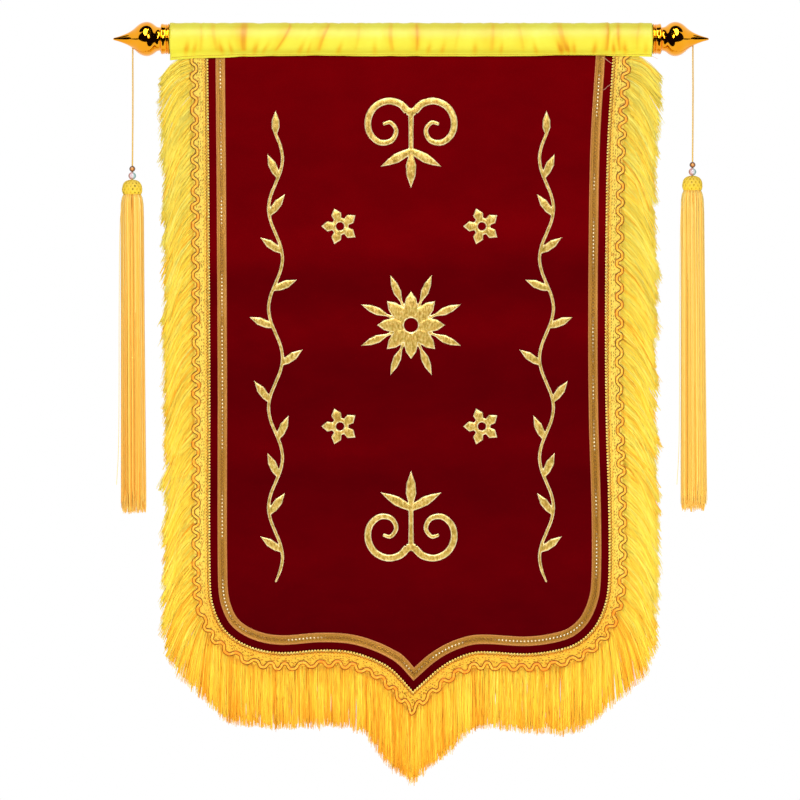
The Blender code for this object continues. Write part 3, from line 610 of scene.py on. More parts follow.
class Finish:
    """A material, its nodes added and linked one at a time."""

    def __init__(self, name, **sockets):
        self.material = bpy.data.materials.new(name)
        self.material.use_nodes = True
        self.tree = self.material.node_tree
        self.shader = self.tree.nodes["Principled BSDF"]
        for key, value in sockets.items():
            self.shader.inputs[key.replace("_", " ")].default_value = value

    def node(self, kind, inputs=(), **settings):
        made = self.tree.nodes.new("ShaderNode" + kind)
        for key, value in settings.items():
            setattr(made, key, value)
        for key, value in dict(inputs).items():
            if isinstance(value, bpy.types.NodeSocket):
                self.tree.links.new(value, made.inputs[key])
            else:
                made.inputs[key].default_value = value
        return made

    def place(self, stretch=(1, 1, 1), source="Object"):
        coordinates = self.node("TexCoord").outputs[source]
        return self.node("Mapping", {"Vector": coordinates, "Scale": stretch}).outputs["Vector"]

    def noise(self, scale, stretch=(1, 1, 1), detail=2.0, source="Object"):
        where = self.place(stretch, source)
        made = self.node("TexNoise", {"Vector": where, "Scale": scale, "Detail": detail})
        return made.outputs["Fac"]

    def wave(self, scale, direction, source="UV"):
        inputs = {"Vector": self.place(source=source), "Scale": scale}
        made = self.node("TexWave", inputs, bands_direction=direction)
        return made.outputs["Fac"]

    def painted(self, name):
        return self.node("Attribute", attribute_name=name).outputs["Fac"]

    def ramp(self, amount, stops):
        made = self.node("ValToRGB", {"Fac": amount})
        elements = made.color_ramp.elements
        while len(elements) < len(stops):
            elements.new(0.5)
        for element, (place, colour) in zip(elements, stops):
            element.position = place
            element.color = (*colour, 1.0)
        return made.outputs["Color"]

    def blend(self, amount, one, two, how="MIX"):
        inputs = {0: amount, 6: one, 7: two}
        return self.node("Mix", inputs, data_type="RGBA", blend_type=how).outputs[2]

    def sums(self, operation, one, two):
        return self.node("Math", {0: one, 1: two}, operation=operation).outputs[0]

    def feed(self, socket, source):
        self.tree.links.new(source, self.shader.inputs[socket])
        return self

    def colour(self, source):
        return self.feed("Base Color", source)

    def roughness(self, source, low, high):
        spread_out = self.node("MapRange", {"Value": source, "To Min": low, "To Max": high})
        return self.feed("Roughness", spread_out.outputs["Result"])

    def relief(self, height, strength, distance):
        inputs = {"Height": height, "Strength": strength, "Distance": distance}
        return self.feed("Normal", self.node("Bump", inputs).outputs["Normal"])


def make_camera():
    data = bpy.data.cameras.new("front_camera")
    data.sensor_width = SENSOR
    data.lens = SENSOR * CAMERA_DISTANCE / (FRAME_PIXELS * PIXEL)
    camera = add_object("front_camera", data)
    middle = FRAME_PIXELS / 2
    camera.location = (
        (middle - ROD_PIXEL[0]) * PIXEL, -CAMERA_DISTANCE, (ROD_PIXEL[1] - middle) * PIXEL
    )
    camera.rotation_euler = (math.pi / 2, 0.0, 0.0)
    bpy.context.scene.camera = camera


def silk_finish(name, stops):
    """Combed silky yarn: each strand's own tone and fine streaks along it."""
    silk = Finish(
        name, Roughness=0.45, Diffuse_Roughness=0.5, Specular_IOR_Level=0.2, Sheen_Weight=0.08,
        Specular_Tint=SILK_TINT, Sheen_Tint=SILK_TINT,
    )
    fine = silk.sums("MULTIPLY", silk.noise(420, (1, 1, 0.12)), 0.2)
    tone = silk.sums("ADD", silk.painted("tone"), silk.sums("SUBTRACT", fine, 0.1))
    return silk.colour(silk.ramp(tone, stops)).material


def cord_finish():
    cord = Finish("twisted_string", Roughness=0.55, Sheen_Weight=0.2)
    ply = cord.wave(260, "DIAGONAL", source="Object")
    shade = cord.ramp(ply, [
        (0.0, (0.45, 0.22, 0.02)), (0.6, (0.80, 0.47, 0.055)), (1.0, (0.95, 0.64, 0.12)),
    ])
    return cord.colour(shade).relief(ply, 0.4, 0.0002).material


def finial_radius(out):
    table = np.array(FINIAL_PROFILE[::-1]) * MM
    return float(np.interp(out, table[:, 0], table[:, 1]))


def make_string(side, across, head_top, material):
    """A three-ply string from the hole under its finial into the head, twisted, with its route."""
    under = -finial_radius(abs(across[0]) * MM - ROD_HALF_LENGTH)
    heights = np.linspace(under + CORD_SINK, head_top - HEAD_BORE_DEPTH + 0.3 * MM, len(across))
    line = smooth_line([(x * MM, 0.0, z) for x, z in zip(across, heights)], steps=12)
    run = run_of(line)
    turn = np.linspace(0, math.tau, 18, endpoint=False)
    twist = 3 * (turn - math.tau * run[:, None] / TWIST_PITCH)
    radius = CORD_RADIUS * (0.95 + 0.12 * np.cos(twist))
    ring = np.stack([radius * np.cos(turn), radius * np.sin(turn), 0 * radius], axis=-1)
    string = loft("string_" + side, line[:, None] + ring, material)
    return string, line, run[-1], (line[0][0], 0.0, under)


def make_bead(name, radius, material):
    """A round bead at the origin, its poles cut out and bridged to a bore."""
    deselect()
    bpy.ops.mesh.primitive_uv_sphere_add(
        segments=40, ring_count=24, radius=radius, location=(0.0, 0.0, 0.0)
    )
    bead = bpy.context.active_object
    bead.name = name
    bpy.ops.object.mode_set(mode="EDIT")
    bpy.ops.mesh.select_mode(type="FACE")
    bpy.ops.mesh.select_all(action="DESELECT")
    bpy.ops.object.mode_set(mode="OBJECT")
    for face in bead.data.polygons:
        face.select = math.hypot(face.center.x, face.center.y) < BEAD_BORE_RADIUS * 0.8
    bpy.ops.object.mode_set(mode="EDIT")
    bpy.ops.mesh.delete(type="FACE")
    bpy.ops.mesh.select_mode(type="EDGE")
    bpy.ops.mesh.select_non_manifold()
    bpy.ops.mesh.bridge_edge_loops()
    bpy.ops.mesh.select_all(action="SELECT")
    bpy.ops.mesh.normals_make_consistent(inside=False)
    bpy.ops.object.mode_set(mode="OBJECT")
    bead.data.materials.append(material)
    bpy.ops.object.shade_smooth_by_angle(angle=math.radians(50))
    x, _, z = places_of(bead).T
    # Painted light: rim and side let the finishes paint a glow through the middle and coloured
    # reflections from side to side
    paint(bead, "rim", np.hypot(x, z) / radius)
    paint(bead, "side", 0.5 + 0.5 * x / radius)
    return bead


def bead_finishes():
    """Amber, dark brown with a glow painted through its middle, and clear glass with a pale middle
    and painted coloured reflections round its rim.
    """
    amber = Finish("amber", Roughness=0.12, Coat_Weight=0.5, Coat_Roughness=0.05)
    swirl = amber.sums("MULTIPLY", amber.noise(260, (1, 1, 2.4), detail=4), 0.3)
    # Painted light: lighter through the middle, darker to the rim, swirled
    depth = amber.sums("ADD", amber.painted("rim"), amber.sums("SUBTRACT", swirl, 0.15))
    amber.colour(amber.ramp(depth, [
        (0.15, (0.86, 0.42, 0.12)), (0.45, (0.50, 0.17, 0.02)),
        (0.75, (0.13, 0.035, 0.004)), (1.0, (0.05, 0.015, 0.003)),
    ]))
    clear = Finish("clear_bead", Roughness=0.04, Transmission_Weight=0.35, IOR=1.46)
    clear.shader.inputs["Thin Film Thickness"].default_value = 420.0
    clear.shader.inputs["Thin Film IOR"].default_value = 1.5
    # Painted reflections: pearly colours from one side to the other, pale in the middle
    painted_pearl_reflection = clear.ramp(clear.painted("side"), [
        (0.05, (0.50, 0.17, 0.06)), (0.3, (0.90, 0.42, 0.42)), (0.5, (0.90, 0.62, 0.66)),
        (0.72, (0.45, 0.76, 0.72)), (0.95, (0.06, 0.30, 0.26)),
    ])
    middle = clear.ramp(clear.painted("rim"), [(0.3, (1.0, 1.0, 1.0)), (0.72, (0.0, 0.0, 0.0))])
    clear.colour(clear.blend(middle, painted_pearl_reflection, (0.96, 0.90, 0.98, 1.0)))
    return amber.material, clear.material


def head_finish():
    knit = Finish("tassel_head_net", Roughness=0.55, Specular_IOR_Level=0.2)
    # Painted shade in the net's hollows, broken up in patches
    pit_shade_patches = knit.sums("MULTIPLY", knit.painted("pit_shade"), knit.ramp(knit.noise(110, detail=2), [
        (0.42, (0.25, 0.25, 0.25)), (0.62, (1.0, 1.0, 1.0)),
    ]))
    shade = knit.ramp(pit_shade_patches, [
        (0.0, (0.84, 0.58, 0.042)), (0.4, (0.66, 0.40, 0.017)), (1.0, (0.13, 0.085, 0.003)),
    ])
    return knit.colour(shade).relief(knit.noise(900, detail=3), 0.5, 0.0003).material


def make_head(material):
    """The tassel's netted head: a dome with a raised diamond net and a small hole on top."""
    outline = smooth_line(np.array(HEAD_OUTLINE), steps=6) * MM
    turn = np.linspace(0, math.tau, HEAD_SIDES, endpoint=False)
    run = run_of(outline)
    phase = HEAD_KNOTS * turn / 2
    rise = (run / HEAD_NET_PITCH)[:, None] * math.pi / 2
    ridge = np.maximum(np.abs(np.cos(phase + rise)), np.abs(np.cos(phase - rise)))
    within = smoothstep(3.5 * MM, 6.5 * MM, run) * smoothstep(run[-1], run[-1] - 5 * MM, run)
    within = within[:, None]
    radius = outline[:, 1:2] + within * (ridge**3 - 0.75) * 1.15 * MM
    rings = np.stack(
        [radius * np.cos(turn), radius * np.sin(turn), -outline[:, :1] + 0 * turn], axis=-1
    )
    head = loft("tassel_head", rings, material)
    # Painted shade: how deep in the net's hollows each point lies
    paint(head, "pit_shade", within * smoothstep(0.78, 0.55, ridge))
    return head


def make_skirt(side, across, top, foot, sway, seed, material):
    """The skirt's yarns: out from under the head, then straight down to tufted ends."""
    chance = np.random.default_rng(seed)
    n = SKIRT_STRANDS
    core = np.arange(n) < SKIRT_CORE_STRANDS
    shell = np.where(core, chance.uniform(0.3, 0.75, n), np.sqrt(chance.uniform(0.45, 1.0, n)))
    turn = chance.uniform(0, math.tau, n)
    parting = np.exp(-(((turn - PARTING_AT) / PARTING_WIDE) ** 2)) * ~core
    lock = np.floor(turn / math.tau * SKIRT_LOCKS).astype(int)
    uneven = chance.normal(0, 1, SKIRT_LOCKS)[lock]
    tuft_at = turn / math.tau * SKIRT_TUFTS
    astray = tuft_at - np.floor(tuft_at) - 0.5
    raised = 20 * np.abs(astray) + 6 * np.abs(uneven) - 8 + 8 * chance.uniform(0, 1, n) + 14 * core
    ends = (foot + raised) * MM
    share = np.array(SKIRT_SHARES)
    width = np.interp(share, *np.array(SKIRT_OUTLINE).T) * MM
    start = top - (HEAD_FOOT - 5 * MM)
    free = np.array(SKIRT_FREE)
    wander = chance.normal(0, 0.5, (n, 2, 1)) * free * MM
    wander[:, 0] += 0.5 * MM * uneven[:, None] * free
    open_here = np.exp(-(((share - 0.026) / 0.022) ** 2))
    radius = width * shell[:, None] * (1 - 0.10 * parting[:, None] * open_here)
    aside = np.where(turn > PARTING_AT, 1, -1) * parting
    gathered = 0.5 * astray[:, None] * math.tau / SKIRT_TUFTS * (share == 1.0)
    bent = turn[:, None] + 0.035 * aside[:, None] * open_here - gathered
    paths = np.stack([
        across + radius * np.cos(bent) + sway * MM * share + wander[:, 0],
        radius * np.sin(bent) + wander[:, 1],
        start + (ends[:, None] - start) * share,
    ], axis=-1)
    radii = np.where(core, SKIRT_CORE_RADIUS, SKIRT_RADIUS)[:, None] * np.array(SKIRT_TAPER)
    # Painted light and shade: the core strands inside lighter, the front parting darker; the
    # strands also darker towards the bottom
    tone = 0.62 + 0.05 * uneven + chance.normal(0, 0.13, n) + 0.2 * core
    shade = tone[:, None] - 0.28 * parting[:, None] * open_here - 0.10 * share
    return tubes("tassel_skirt_" + side, paths, radii, material, tone=shade)


def make_stray(name, points, radius, material, tone=0.6):
    """A loose thread along a few points."""
    line = smooth_line(np.array(points) * MM, steps=8)
    return tubes(name, line[None], radius, material, sides=5, tone=tone)


def make_tassels():
    string = cord_finish()
    amber, clear = bead_finishes()
    net = head_finish()
    silk = silk_finish("tassel_silk", [
        (0.0, (0.55, 0.19, 0.01)), (0.3, (0.94, 0.40, 0.035)), (0.5, (0.98, 0.57, 0.09)),
        (0.7, (1.0, 0.72, 0.16)), (1.0, (1.0, 0.86, 0.36)),
    ])
    head_pattern = make_head(net)
    bead_patterns = (
        ("amber", make_bead("amber_bead", AMBER_RADIUS, amber)),
        ("clear", make_bead("clear_bead", CLEAR_RADIUS, clear)),
    )
    for side, across, heights, foot, sway, seed in TASSELS:
        *beads_at, head_top = (h * MM for h in heights)
        cord, line, length, exit_point = make_string(side, across, head_top, string)
        falling = line[::-1]
        for (kind, pattern), height in zip(bead_patterns, beads_at):
            where = float(np.interp(height, falling[:, 2], falling[:, 0]))
            bead = copy_of(pattern, f"{kind}_bead_{side}", where, height)
            wear(bead, f"{kind}_bead", f"bead_{kind}_{side}")
        head = copy_of(head_pattern, "tassel_head_" + side, across[-1] * MM, head_top)
        wear(head, "silk", "tassel_" + side)
        skirt = make_skirt(side, across[-1] * MM, head_top, foot, sway, seed, silk)
        wear(skirt, "silk", "tassel_" + side)
        left = across[-1]
        stray = make_stray("tassel_stray_" + side, (
            (left - 13, -4, heights[2] - 24), (left - 18.4, -5, heights[2] - 60),
            (left - 20.2, -5, -420), (left - 20.5, -4, -560), (left - 21.5, -3, -650),
            (left - 24.5, -2, -704),
        ), 0.45 * MM, silk, 0.75)
        wear(stray, "silk", "tassel_" + side)
        wear(cord, "string", "cord_" + side)
    for pattern in (head_pattern, *(bead for _, bead in bead_patterns)):
        bpy.data.objects.remove(pattern)


def make_velvet():
    edge = {}
    for sign in (-1, 1):
        line, outward = SIDES[sign]
        moved = line + outward * VELVET_UNDER_HEADER
        corner = int(np.argmax(np.abs(outward[:, 1]) > np.abs(outward[:, 0])))
        side_line, low_line = moved[: corner + 1], moved[corner:]
        edge[sign] = (
            spread(side_line, run_of(side_line), VELVET_ROWS),
            spread(low_line, run_of(low_line), VELVET_COLUMNS // 2),
        )
    left, right = edge[-1][0], edge[1][0]
    low = np.concatenate([edge[-1][1], edge[1][1][-2::-1]])
    u = np.linspace(0, 1, VELVET_COLUMNS + 1)[None, :, None]
    v = np.linspace(0, 1, VELVET_ROWS + 1)[:, None, None]
    dip = low - (left[-1] + (right[-1] - left[-1]) * u[0])
    flat = left[:, None] * (1 - u) + right[:, None] * u + dip[None] * v**VELVET_DIP_POWER
    points = lay(flat).reshape(-1, 3)
    cloth = Finish("crimson_velvet", Roughness=0.9, Sheen_Weight=0.25, Sheen_Roughness=0.4,
                   Specular_IOR_Level=0.0, Sheen_Tint=(0.45, 0.0, 0.004, 1.0))
    pile = cloth.noise(1500, detail=3)
    brushed = cloth.sums("MULTIPLY", cloth.noise(14, (1, 1, 1.8), 3), 0.3)
    mottled = cloth.sums("ADD", cloth.sums("MULTIPLY", pile, 0.3), brushed)
    # The pile's mottling plus the painted shade of the folds and the painted darkening towards the
    # bottom
    tone = cloth.sums("ADD", cloth.sums("SUBTRACT", mottled, 0.3), cloth.painted("painted_velvet_shade"))
    cloth.colour(cloth.ramp(tone, [
        (0.0, (0.040, 0.0, 0.0012)), (0.5, (0.095, 0.0, 0.0014)), (1.0, (0.175, 0.0002, 0.0018)),
    ])).relief(pile, 0.35, 0.0006)
    faces = grid_faces(VELVET_ROWS + 1, VELVET_COLUMNS + 1)
    velvet = mesh_piece("velvet_cloth", points, [faces], cloth.material)
    # Painted shade: lighter or darker with the folds' depth, and darker towards the bottom
    x, z = points[:, 0], points[:, 2]
    curl = np.maximum(0.0, (POINT_CURL_FROM - z) / POINT_CURL_OVER)
    swing = -(drift(x, z) + POINT_CURL * curl * curl) / FOLD_SHADE_SWING
    level, fade, folds = PAINTED_SHADE_LEVELS
    paint(velvet, "painted_velvet_shade", level + folds * swing + fade * z / SHADE_FADE_HEIGHT)
    apply_modifier(velvet, "SOLIDIFY", thickness=VELVET_THICKNESS, offset=0.0)
    return wear(velvet, "velvet", "velvet_panel")


def hem_height(x):
    """The sleeve's lower edge at places across."""
    line = smooth_line(np.array(HEM_LINE) * MM, 8)
    return np.interp(x, line[:, 0], line[:, 1])


def sleeve_front(x):
    """The depth of the sleeve's front lip: further out where it covers the tape and header."""
    over_velvet = VELVET_THICKNESS / 2 + LAP + SATIN_THICKNESS / 2
    side = np.where(x < 0, -LEFT_BORDER[0][0], RIGHT_BORDER[0][0]) * MM
    inside = side - np.abs(x)
    over_header = smoothstep(14 * MM, 4 * MM, inside)
    over_tape = smoothstep(30 * MM, 26 * MM, inside) * (1 - over_header)
    over_trims = over_header * (HEADER_THICKNESS + LAP) + over_tape * (TAPE_THICKNESS + LAP)
    return -(over_velvet + over_trims)


def bumps(x, table, fall=1.4):
    """The sum of soft ridges at places across: (place, half width, height)."""
    found = np.zeros_like(x)
    for place, half, height in table:
        off = (x - place * MM) / (half * MM)
        found = found + height * np.exp(-off * off * fall)
    return found


def make_sleeve():
    """The satin: front lip, round the rod, back lip, its creases drawn down to the seam."""
    hem = np.linspace(-SLEEVE_HALF_WIDTH, SLEEVE_HALF_WIDTH, SLEEVE_COLUMNS + 1)
    knots = [-SLEEVE_HALF_WIDTH, *(c[0] * MM for c in CREASES), SLEEVE_HALF_WIDTH]
    slants = [0.0, *((c[1] - c[0]) * MM for c in CREASES), 0.0]
    slant = np.interp(hem, knots, slants)
    bulge = bumps(hem, [(c[0], c[2], c[3] * MM) for c in CREASES])
    trough = bumps(hem, [(c[0] + 1.5 * c[2], 0.6 * c[2], 0.3 * c[3] * MM) for c in CREASES])
    pucker = bumps(hem, [(p, half, depth * MM) for p, half, depth in PUCKERS], 2.5)
    wobble = np.sin(hem * 211) + np.sin(hem * 367 + 1.7) + 0.6 * np.sin(hem * 613 + 0.6)
    wobble *= 0.22 * MM
    front = sleeve_front(hem)
    back = VELVET_THICKNESS / 2 + LAP + SATIN_THICKNESS / 2
    lip = np.minimum(hem_height(hem) + bulge * 0.25, SEAM_HEIGHT - LEAST_LIP)
    rows, crease_shades = [], []
    # Painted shade: darker orange bands along each crease and beside each pucker, strongest on the
    # sleeve's front
    crease_shade = bumps(hem, [(c[0] + 0.45 * c[2], 0.28 * c[2], 0.75 * c[4]) for c in CREASES], 2.0)
    crease_shade = crease_shade + bumps(hem, [(c[0] + 0.2 * c[2], 1.1 * c[2], 0.38 * c[4]) for c in CREASES], 2.0)
    bow = CREASE_BOW * np.sin(19 * hem / SLEEVE_HALF_WIDTH)
    pucker_shade = bumps(hem, [(p + half * 0.5, half, 0.8 * depth) for p, half, depth in PUCKERS], 2.0)
    for height, pucker_shade_share in ((lip, 0.0), (0 * hem + SEAM_HEIGHT, 0.35)):
        rows.append(np.stack([hem, front, height], axis=1))
        crease_shades.append(0.25 * crease_shade + pucker_shade_share * pucker_shade)
    first = math.radians(SLEEVE_ROUND_FROM)
    for turn in np.linspace(first, math.tau - first, SLEEVE_ROWS):
        up = (1 - math.cos(turn)) / 2
        k = max(0.0, (turn - math.pi) / math.radians(22.5))
        full = up if turn < math.pi else max(0.0, 1 - 0.12 * k)
        low = float(np.exp(-((turn - math.radians(45)) / 0.5) ** 2))
        swell = math.sin(min(turn, math.pi) / 2) ** 0.5
        calm = 1 - 0.75 * float(smoothstep(1.9, 2.9, np.float64(turn)))
        radius = (SLEEVE_RADIUS + SLEEVE_PUFF * up * up + (bulge * 0.9 - trough) * full * calm
                  + wobble * up - pucker * low * 0.5 + 0.4 * MM * swell * up)
        x = hem + slant * min(1.0, up * 1.15) + bow * math.sin(math.pi * up)
        ease = float(smoothstep(first, first + 0.35, np.float64(turn)))
        y, z = -radius * math.sin(turn), -radius * math.cos(turn)
        rows.append(np.stack([x, y, z], axis=1))
        crease_shades.append(crease_shade * (0.3 + 0.7 * math.sin(min(turn, math.pi))) * ease + pucker_shade * low)
    last = rows[-1][:, 0]
    for z in (0 * hem + SEAM_HEIGHT, lip + 0.5 * MM):
        rows.append(np.stack([last, np.full_like(hem, back), z], axis=1))
        crease_shades.append(0 * hem)
    grid = np.stack(rows, axis=0)
    satin = Finish("yellow_satin", Roughness=0.5, Specular_IOR_Level=0.3)
    weave = satin.noise(700, (0.15, 1, 1))
    cloudy = satin.sums("MULTIPLY", satin.noise(24, (1, 1, 0.6), 3), 0.42)
    shade = satin.sums("ADD", satin.painted("painted_crease_shade"), cloudy)
    satin.colour(satin.ramp(shade, [
        (0.06, (0.78, 0.79, 0.088)), (0.16, (0.78, 0.73, 0.050)), (0.40, (0.78, 0.63, 0.029)),
        (0.75, (0.78, 0.44, 0.012)), (1.0, (0.70, 0.32, 0.006)),
    ])).relief(weave, 0.12, 0.0003)
    faces = [grid_faces(*grid.shape[:2])]
    sleeve = mesh_piece("satin_sleeve", grid.reshape(-1, 3), faces, satin.material)
    paint(sleeve, "painted_crease_shade", np.stack(crease_shades, axis=0))
    apply_modifier(sleeve, "SOLIDIFY", thickness=SATIN_THICKNESS, offset=0.0)
    return wear(sleeve, "satin", "sleeve")


def make_stitches():
    """A row of short stitches through the sleeve's front lip, just under its seam."""
    x = np.arange(-SLEEVE_HALF_WIDTH + 4 * MM, SLEEVE_HALF_WIDTH - 4 * MM, STITCH_PITCH)
    height = np.minimum(hem_height(x) + STITCHES_ABOVE_HEM, SEAM_HEIGHT - LEAST_LIP / 2)
    depth = sleeve_front(x) - SATIN_THICKNESS / 2
    reach = np.array(STITCH_REACH) * STITCH_LENGTH
    rise = np.array(STITCH_RISE) * STITCH_RADIUS
    level = height[:, None] + 0 * reach
    paths = np.stack([x[:, None] + reach, depth[:, None] + rise, level], axis=-1)
    thread = Finish("sewing_thread", Roughness=0.5)
    tones = [(0.3, (0.50, 0.22, 0.01)), (0.7, (0.85, 0.52, 0.04))]
    thread.colour(thread.ramp(thread.noise(500), tones))
    wear(tubes("hem_stitches", paths, STITCH_RADIUS, thread.material, sides=4), "satin")


def make_loose_threads():
    frayed = Finish("frayed_thread", Roughness=0.6)
    tones = [(0.3, (0.55, 0.24, 0.14)), (0.7, (0.85, 0.52, 0.34))]
    frayed.colour(frayed.ramp(frayed.noise(80), tones))
    for name, points in LOOSE_THREADS:
        stray = make_stray("loose_thread_" + name, points, LOOSE_THREAD_RADIUS, frayed.material)
        wear(stray, "silk", "fringe")


def make_strip(name, middle, first, outline, back, material, sharp):
    """A closed flat strip round the banner, with its places across and along as a UV map."""
    points, ways, run = round_border(middle, STRIP_STATIONS)
    across, height = outline
    front = sewn_on(points[:, None] + ways[:, None] * (first + across)[:, None], height)
    behind = sewn_on(points[:, None] + ways[:, None] * (first + back)[:, None])
    rings = np.concatenate([front, behind], axis=1)
    strip = loft(name, rings, material, sharp)
    reach = np.broadcast_to(np.concatenate([across, back]), rings.shape[:2])
    map_flat(strip, reach, np.broadcast_to(run[:, None], rings.shape[:2]))
    return strip, rings, reach


def make_tape():
    """The woven metallic tape: raised edges, a sunk middle, and a chain with bright dots on it."""
    middle = -TAPE_INSET - TAPE_WIDTH / 2
    braid = Finish("metallic_braid", Roughness=0.45, Metallic=0.3, Specular_IOR_Level=0.3)
    ribs = braid.wave(330, "DIAGONAL")
    cross = braid.noise(520, source="UV", detail=2)
    edge = braid.painted("edge")
    worked = braid.ramp(ribs, [
        (0.1, (0.07, 0.018, 0.001)), (0.55, (0.36, 0.14, 0.010)), (1.0, (0.80, 0.40, 0.05)),
    ])
    rim = braid.ramp(cross, [(0.3, (0.39, 0.138, 0.030)), (0.7, (0.60, 0.242, 0.062))])
    braid.colour(braid.blend(edge, worked, rim)).relief(ribs, 0.5, 0.0004)
    tape, _, reach = make_strip(
        "gold_tape_braid", middle, -TAPE_INSET - TAPE_WIDTH, np.array(TAPE_OUTLINE).T * MM,
        np.array(TAPE_BACK) * MM, braid.material, 55,
    )
    half = TAPE_WIDTH / 2
    paint(tape, "edge", smoothstep(half - TAPE_RIMS[0], half - TAPE_RIMS[1], np.abs(reach - half)))
    wear(tape, "braid", "gold_tape")
    make_chain(middle)
    make_dots(middle)


def make_chain(middle):
    """Two metal threads that cross again and again along the middle of the tape."""
    points, ways, run = round_border(middle, CHAIN_PITCH / 6)
    lurex = Finish("lurex_thread", Roughness=0.3, Metallic=0.85)
    glint = lurex.noise(480, detail=3)
    lurex.colour(lurex.ramp(glint, [(0.3, (0.30, 0.12, 0.01)), (0.7, (0.80, 0.42, 0.07))]))
    phase = math.tau * run / CHAIN_PITCH
    paths = []
    for sign in (-1, 1):
        out = middle + sign * CHAIN_SWING * np.sin(phase)
        under = 0.25 * MM * np.cos(phase * 2 + sign)
        paths.append(sewn_on(points + ways * out[:, None], 0.85 * MM - under))
    chain = tubes("tape_chain", np.stack(paths), 0.42 * MM, lurex.material, sides=4)
    wear(chain, "braid", "gold_tape")


def make_dots(middle):
    """Small domes in the chain's eyes, bright in stretches."""
    points, ways, _ = round_border(middle, CHAIN_PITCH / 2)
    centres = sewn_on(points + ways * middle, 0.62 * MM)
    bright = Finish("bright_dots", Roughness=0.3, Metallic=0.35)
    patches = bright.noise(14, detail=3)
    bright.colour(bright.ramp(patches, [(0.48, (0.30, 0.13, 0.015)), (0.56, (1.0, 0.90, 0.60))]))
    rises, sizes = np.array(DOT_OUTLINE).T * MM
    turns = np.linspace(0, math.tau, DOT_SIDES, endpoint=False)
    ring = np.stack([np.cos(turns), 0 * turns, np.sin(turns)], axis=1)
    domes = centres[:, None, None] + ring * sizes[:, None, None]
    domes[..., 1] -= rises[:, None]
    levels = len(DOT_OUTLINE)
    starts = (np.arange(len(centres)) * levels * DOT_SIDES)[:, None, None]
    walls = starts + grid_faces(levels, DOT_SIDES, closed=True)
    low = starts[:, 0] + np.arange(DOT_SIDES)[::-1]
    high = starts[:, 0] + (levels - 1) * DOT_SIDES + np.arange(DOT_SIDES)
    faces = [walls.reshape(-1, 4), low, high]
    dots = closed_piece("tape_dots", domes.reshape(-1, 3), faces, bright.material)
    wear(dots, "braid", "gold_tape")


def beside(line, distance):
    """A line in the banner's face, moved sideways."""
    along = unit(np.gradient(line, axis=0))
    side = np.stack([-along[:, 2], 0 * along[:, 1], along[:, 0]], axis=1)
    return line + unit(side) * distance


def make_header_band():
    """The woven band: ribs along it, a knitted edge and small stitches between."""
    first, last = HEADER_RIBS
    across = np.concatenate([[3.4, 3.6, 4.0], np.arange(first, 27.2, 1.13), [27.5, 28.0]])
    ribs = np.abs(np.sin(math.pi * (across - first) / HEADER_RIB_PITCH)) ** 0.6
    ribs *= HEADER_RIB_HEIGHT * (across < last)
    outline = np.stack([across, np.interp(across, *np.array(HEADER_OUTLINE).T) + ribs]) * MM
    woven = Finish("woven_header", Roughness=0.55, Specular_IOR_Level=0.2)
    weft = woven.wave(230, "Y")
    dull = woven.noise(280, (1, 0.6, 1), 3, source="UV")
    tone = woven.ramp(weft, [
        (0.0, (0.62, 0.34, 0.015)), (0.5, (0.97, 0.74, 0.07)), (1.0, (1.0, 0.90, 0.20)),
    ])
    flecks = woven.ramp(dull, [
        (0.36, (0.62, 0.34, 0.12)), (0.43, (1.0, 1.0, 1.0)),
        (0.58, (1.0, 1.0, 0.95)), (0.66, (0.42, 0.36, 0.12)),
    ])
    warm = woven.ramp(woven.painted("warm"), [(0.0, (1.0, 1.0, 1.0)), (1.0, (0.94, 0.68, 0.36))])
    mottled = woven.blend(0.85, tone, flecks, "MULTIPLY")
    woven.colour(woven.blend(1.0, mottled, warm, "MULTIPLY")).relief(weft, 0.5, 0.0005)
    band, rings, _ = make_strip(
        "fringe_header", HEADER_WIDTH / 2, 0.0, outline, np.array(HEADER_BACK) * MM,
        woven.material, 60,
    )
    paint(band, "warm", warmth(rings[..., 2]))
    wear(band, "silk", "fringe")


def wave_route(spacing):
    """The wavy cord's way round the header: places, ways outwards, how far out and its bends."""
    chance = np.random.default_rng(8)
    points, ways, run = round_border(WAVE_OUT, spacing)
    knots = np.arange(0, run[-1] + WAVE_PITCH, WAVE_PITCH)
    loose = np.interp(run, knots, chance.normal(0, 0.5, len(knots)))
    reach = np.interp(run, knots, 1 + chance.normal(0, 0.12, len(knots)))
    phase = math.tau * run / WAVE_PITCH + loose
    swing = WAVE_SWING * reach * (np.sin(phase) + 0.13 * np.sin(3 * phase))
    rich = np.interp(run, knots, chance.uniform(0, 1, len(knots)))
    bends = np.abs(swing / WAVE_SWING) ** 3 * rich + (0.3 + 0.3 * rich) * warmth(points[:, 1])
    return points + ways * (WAVE_OUT + swing)[:, None], np.clip(bends, 0, 1)


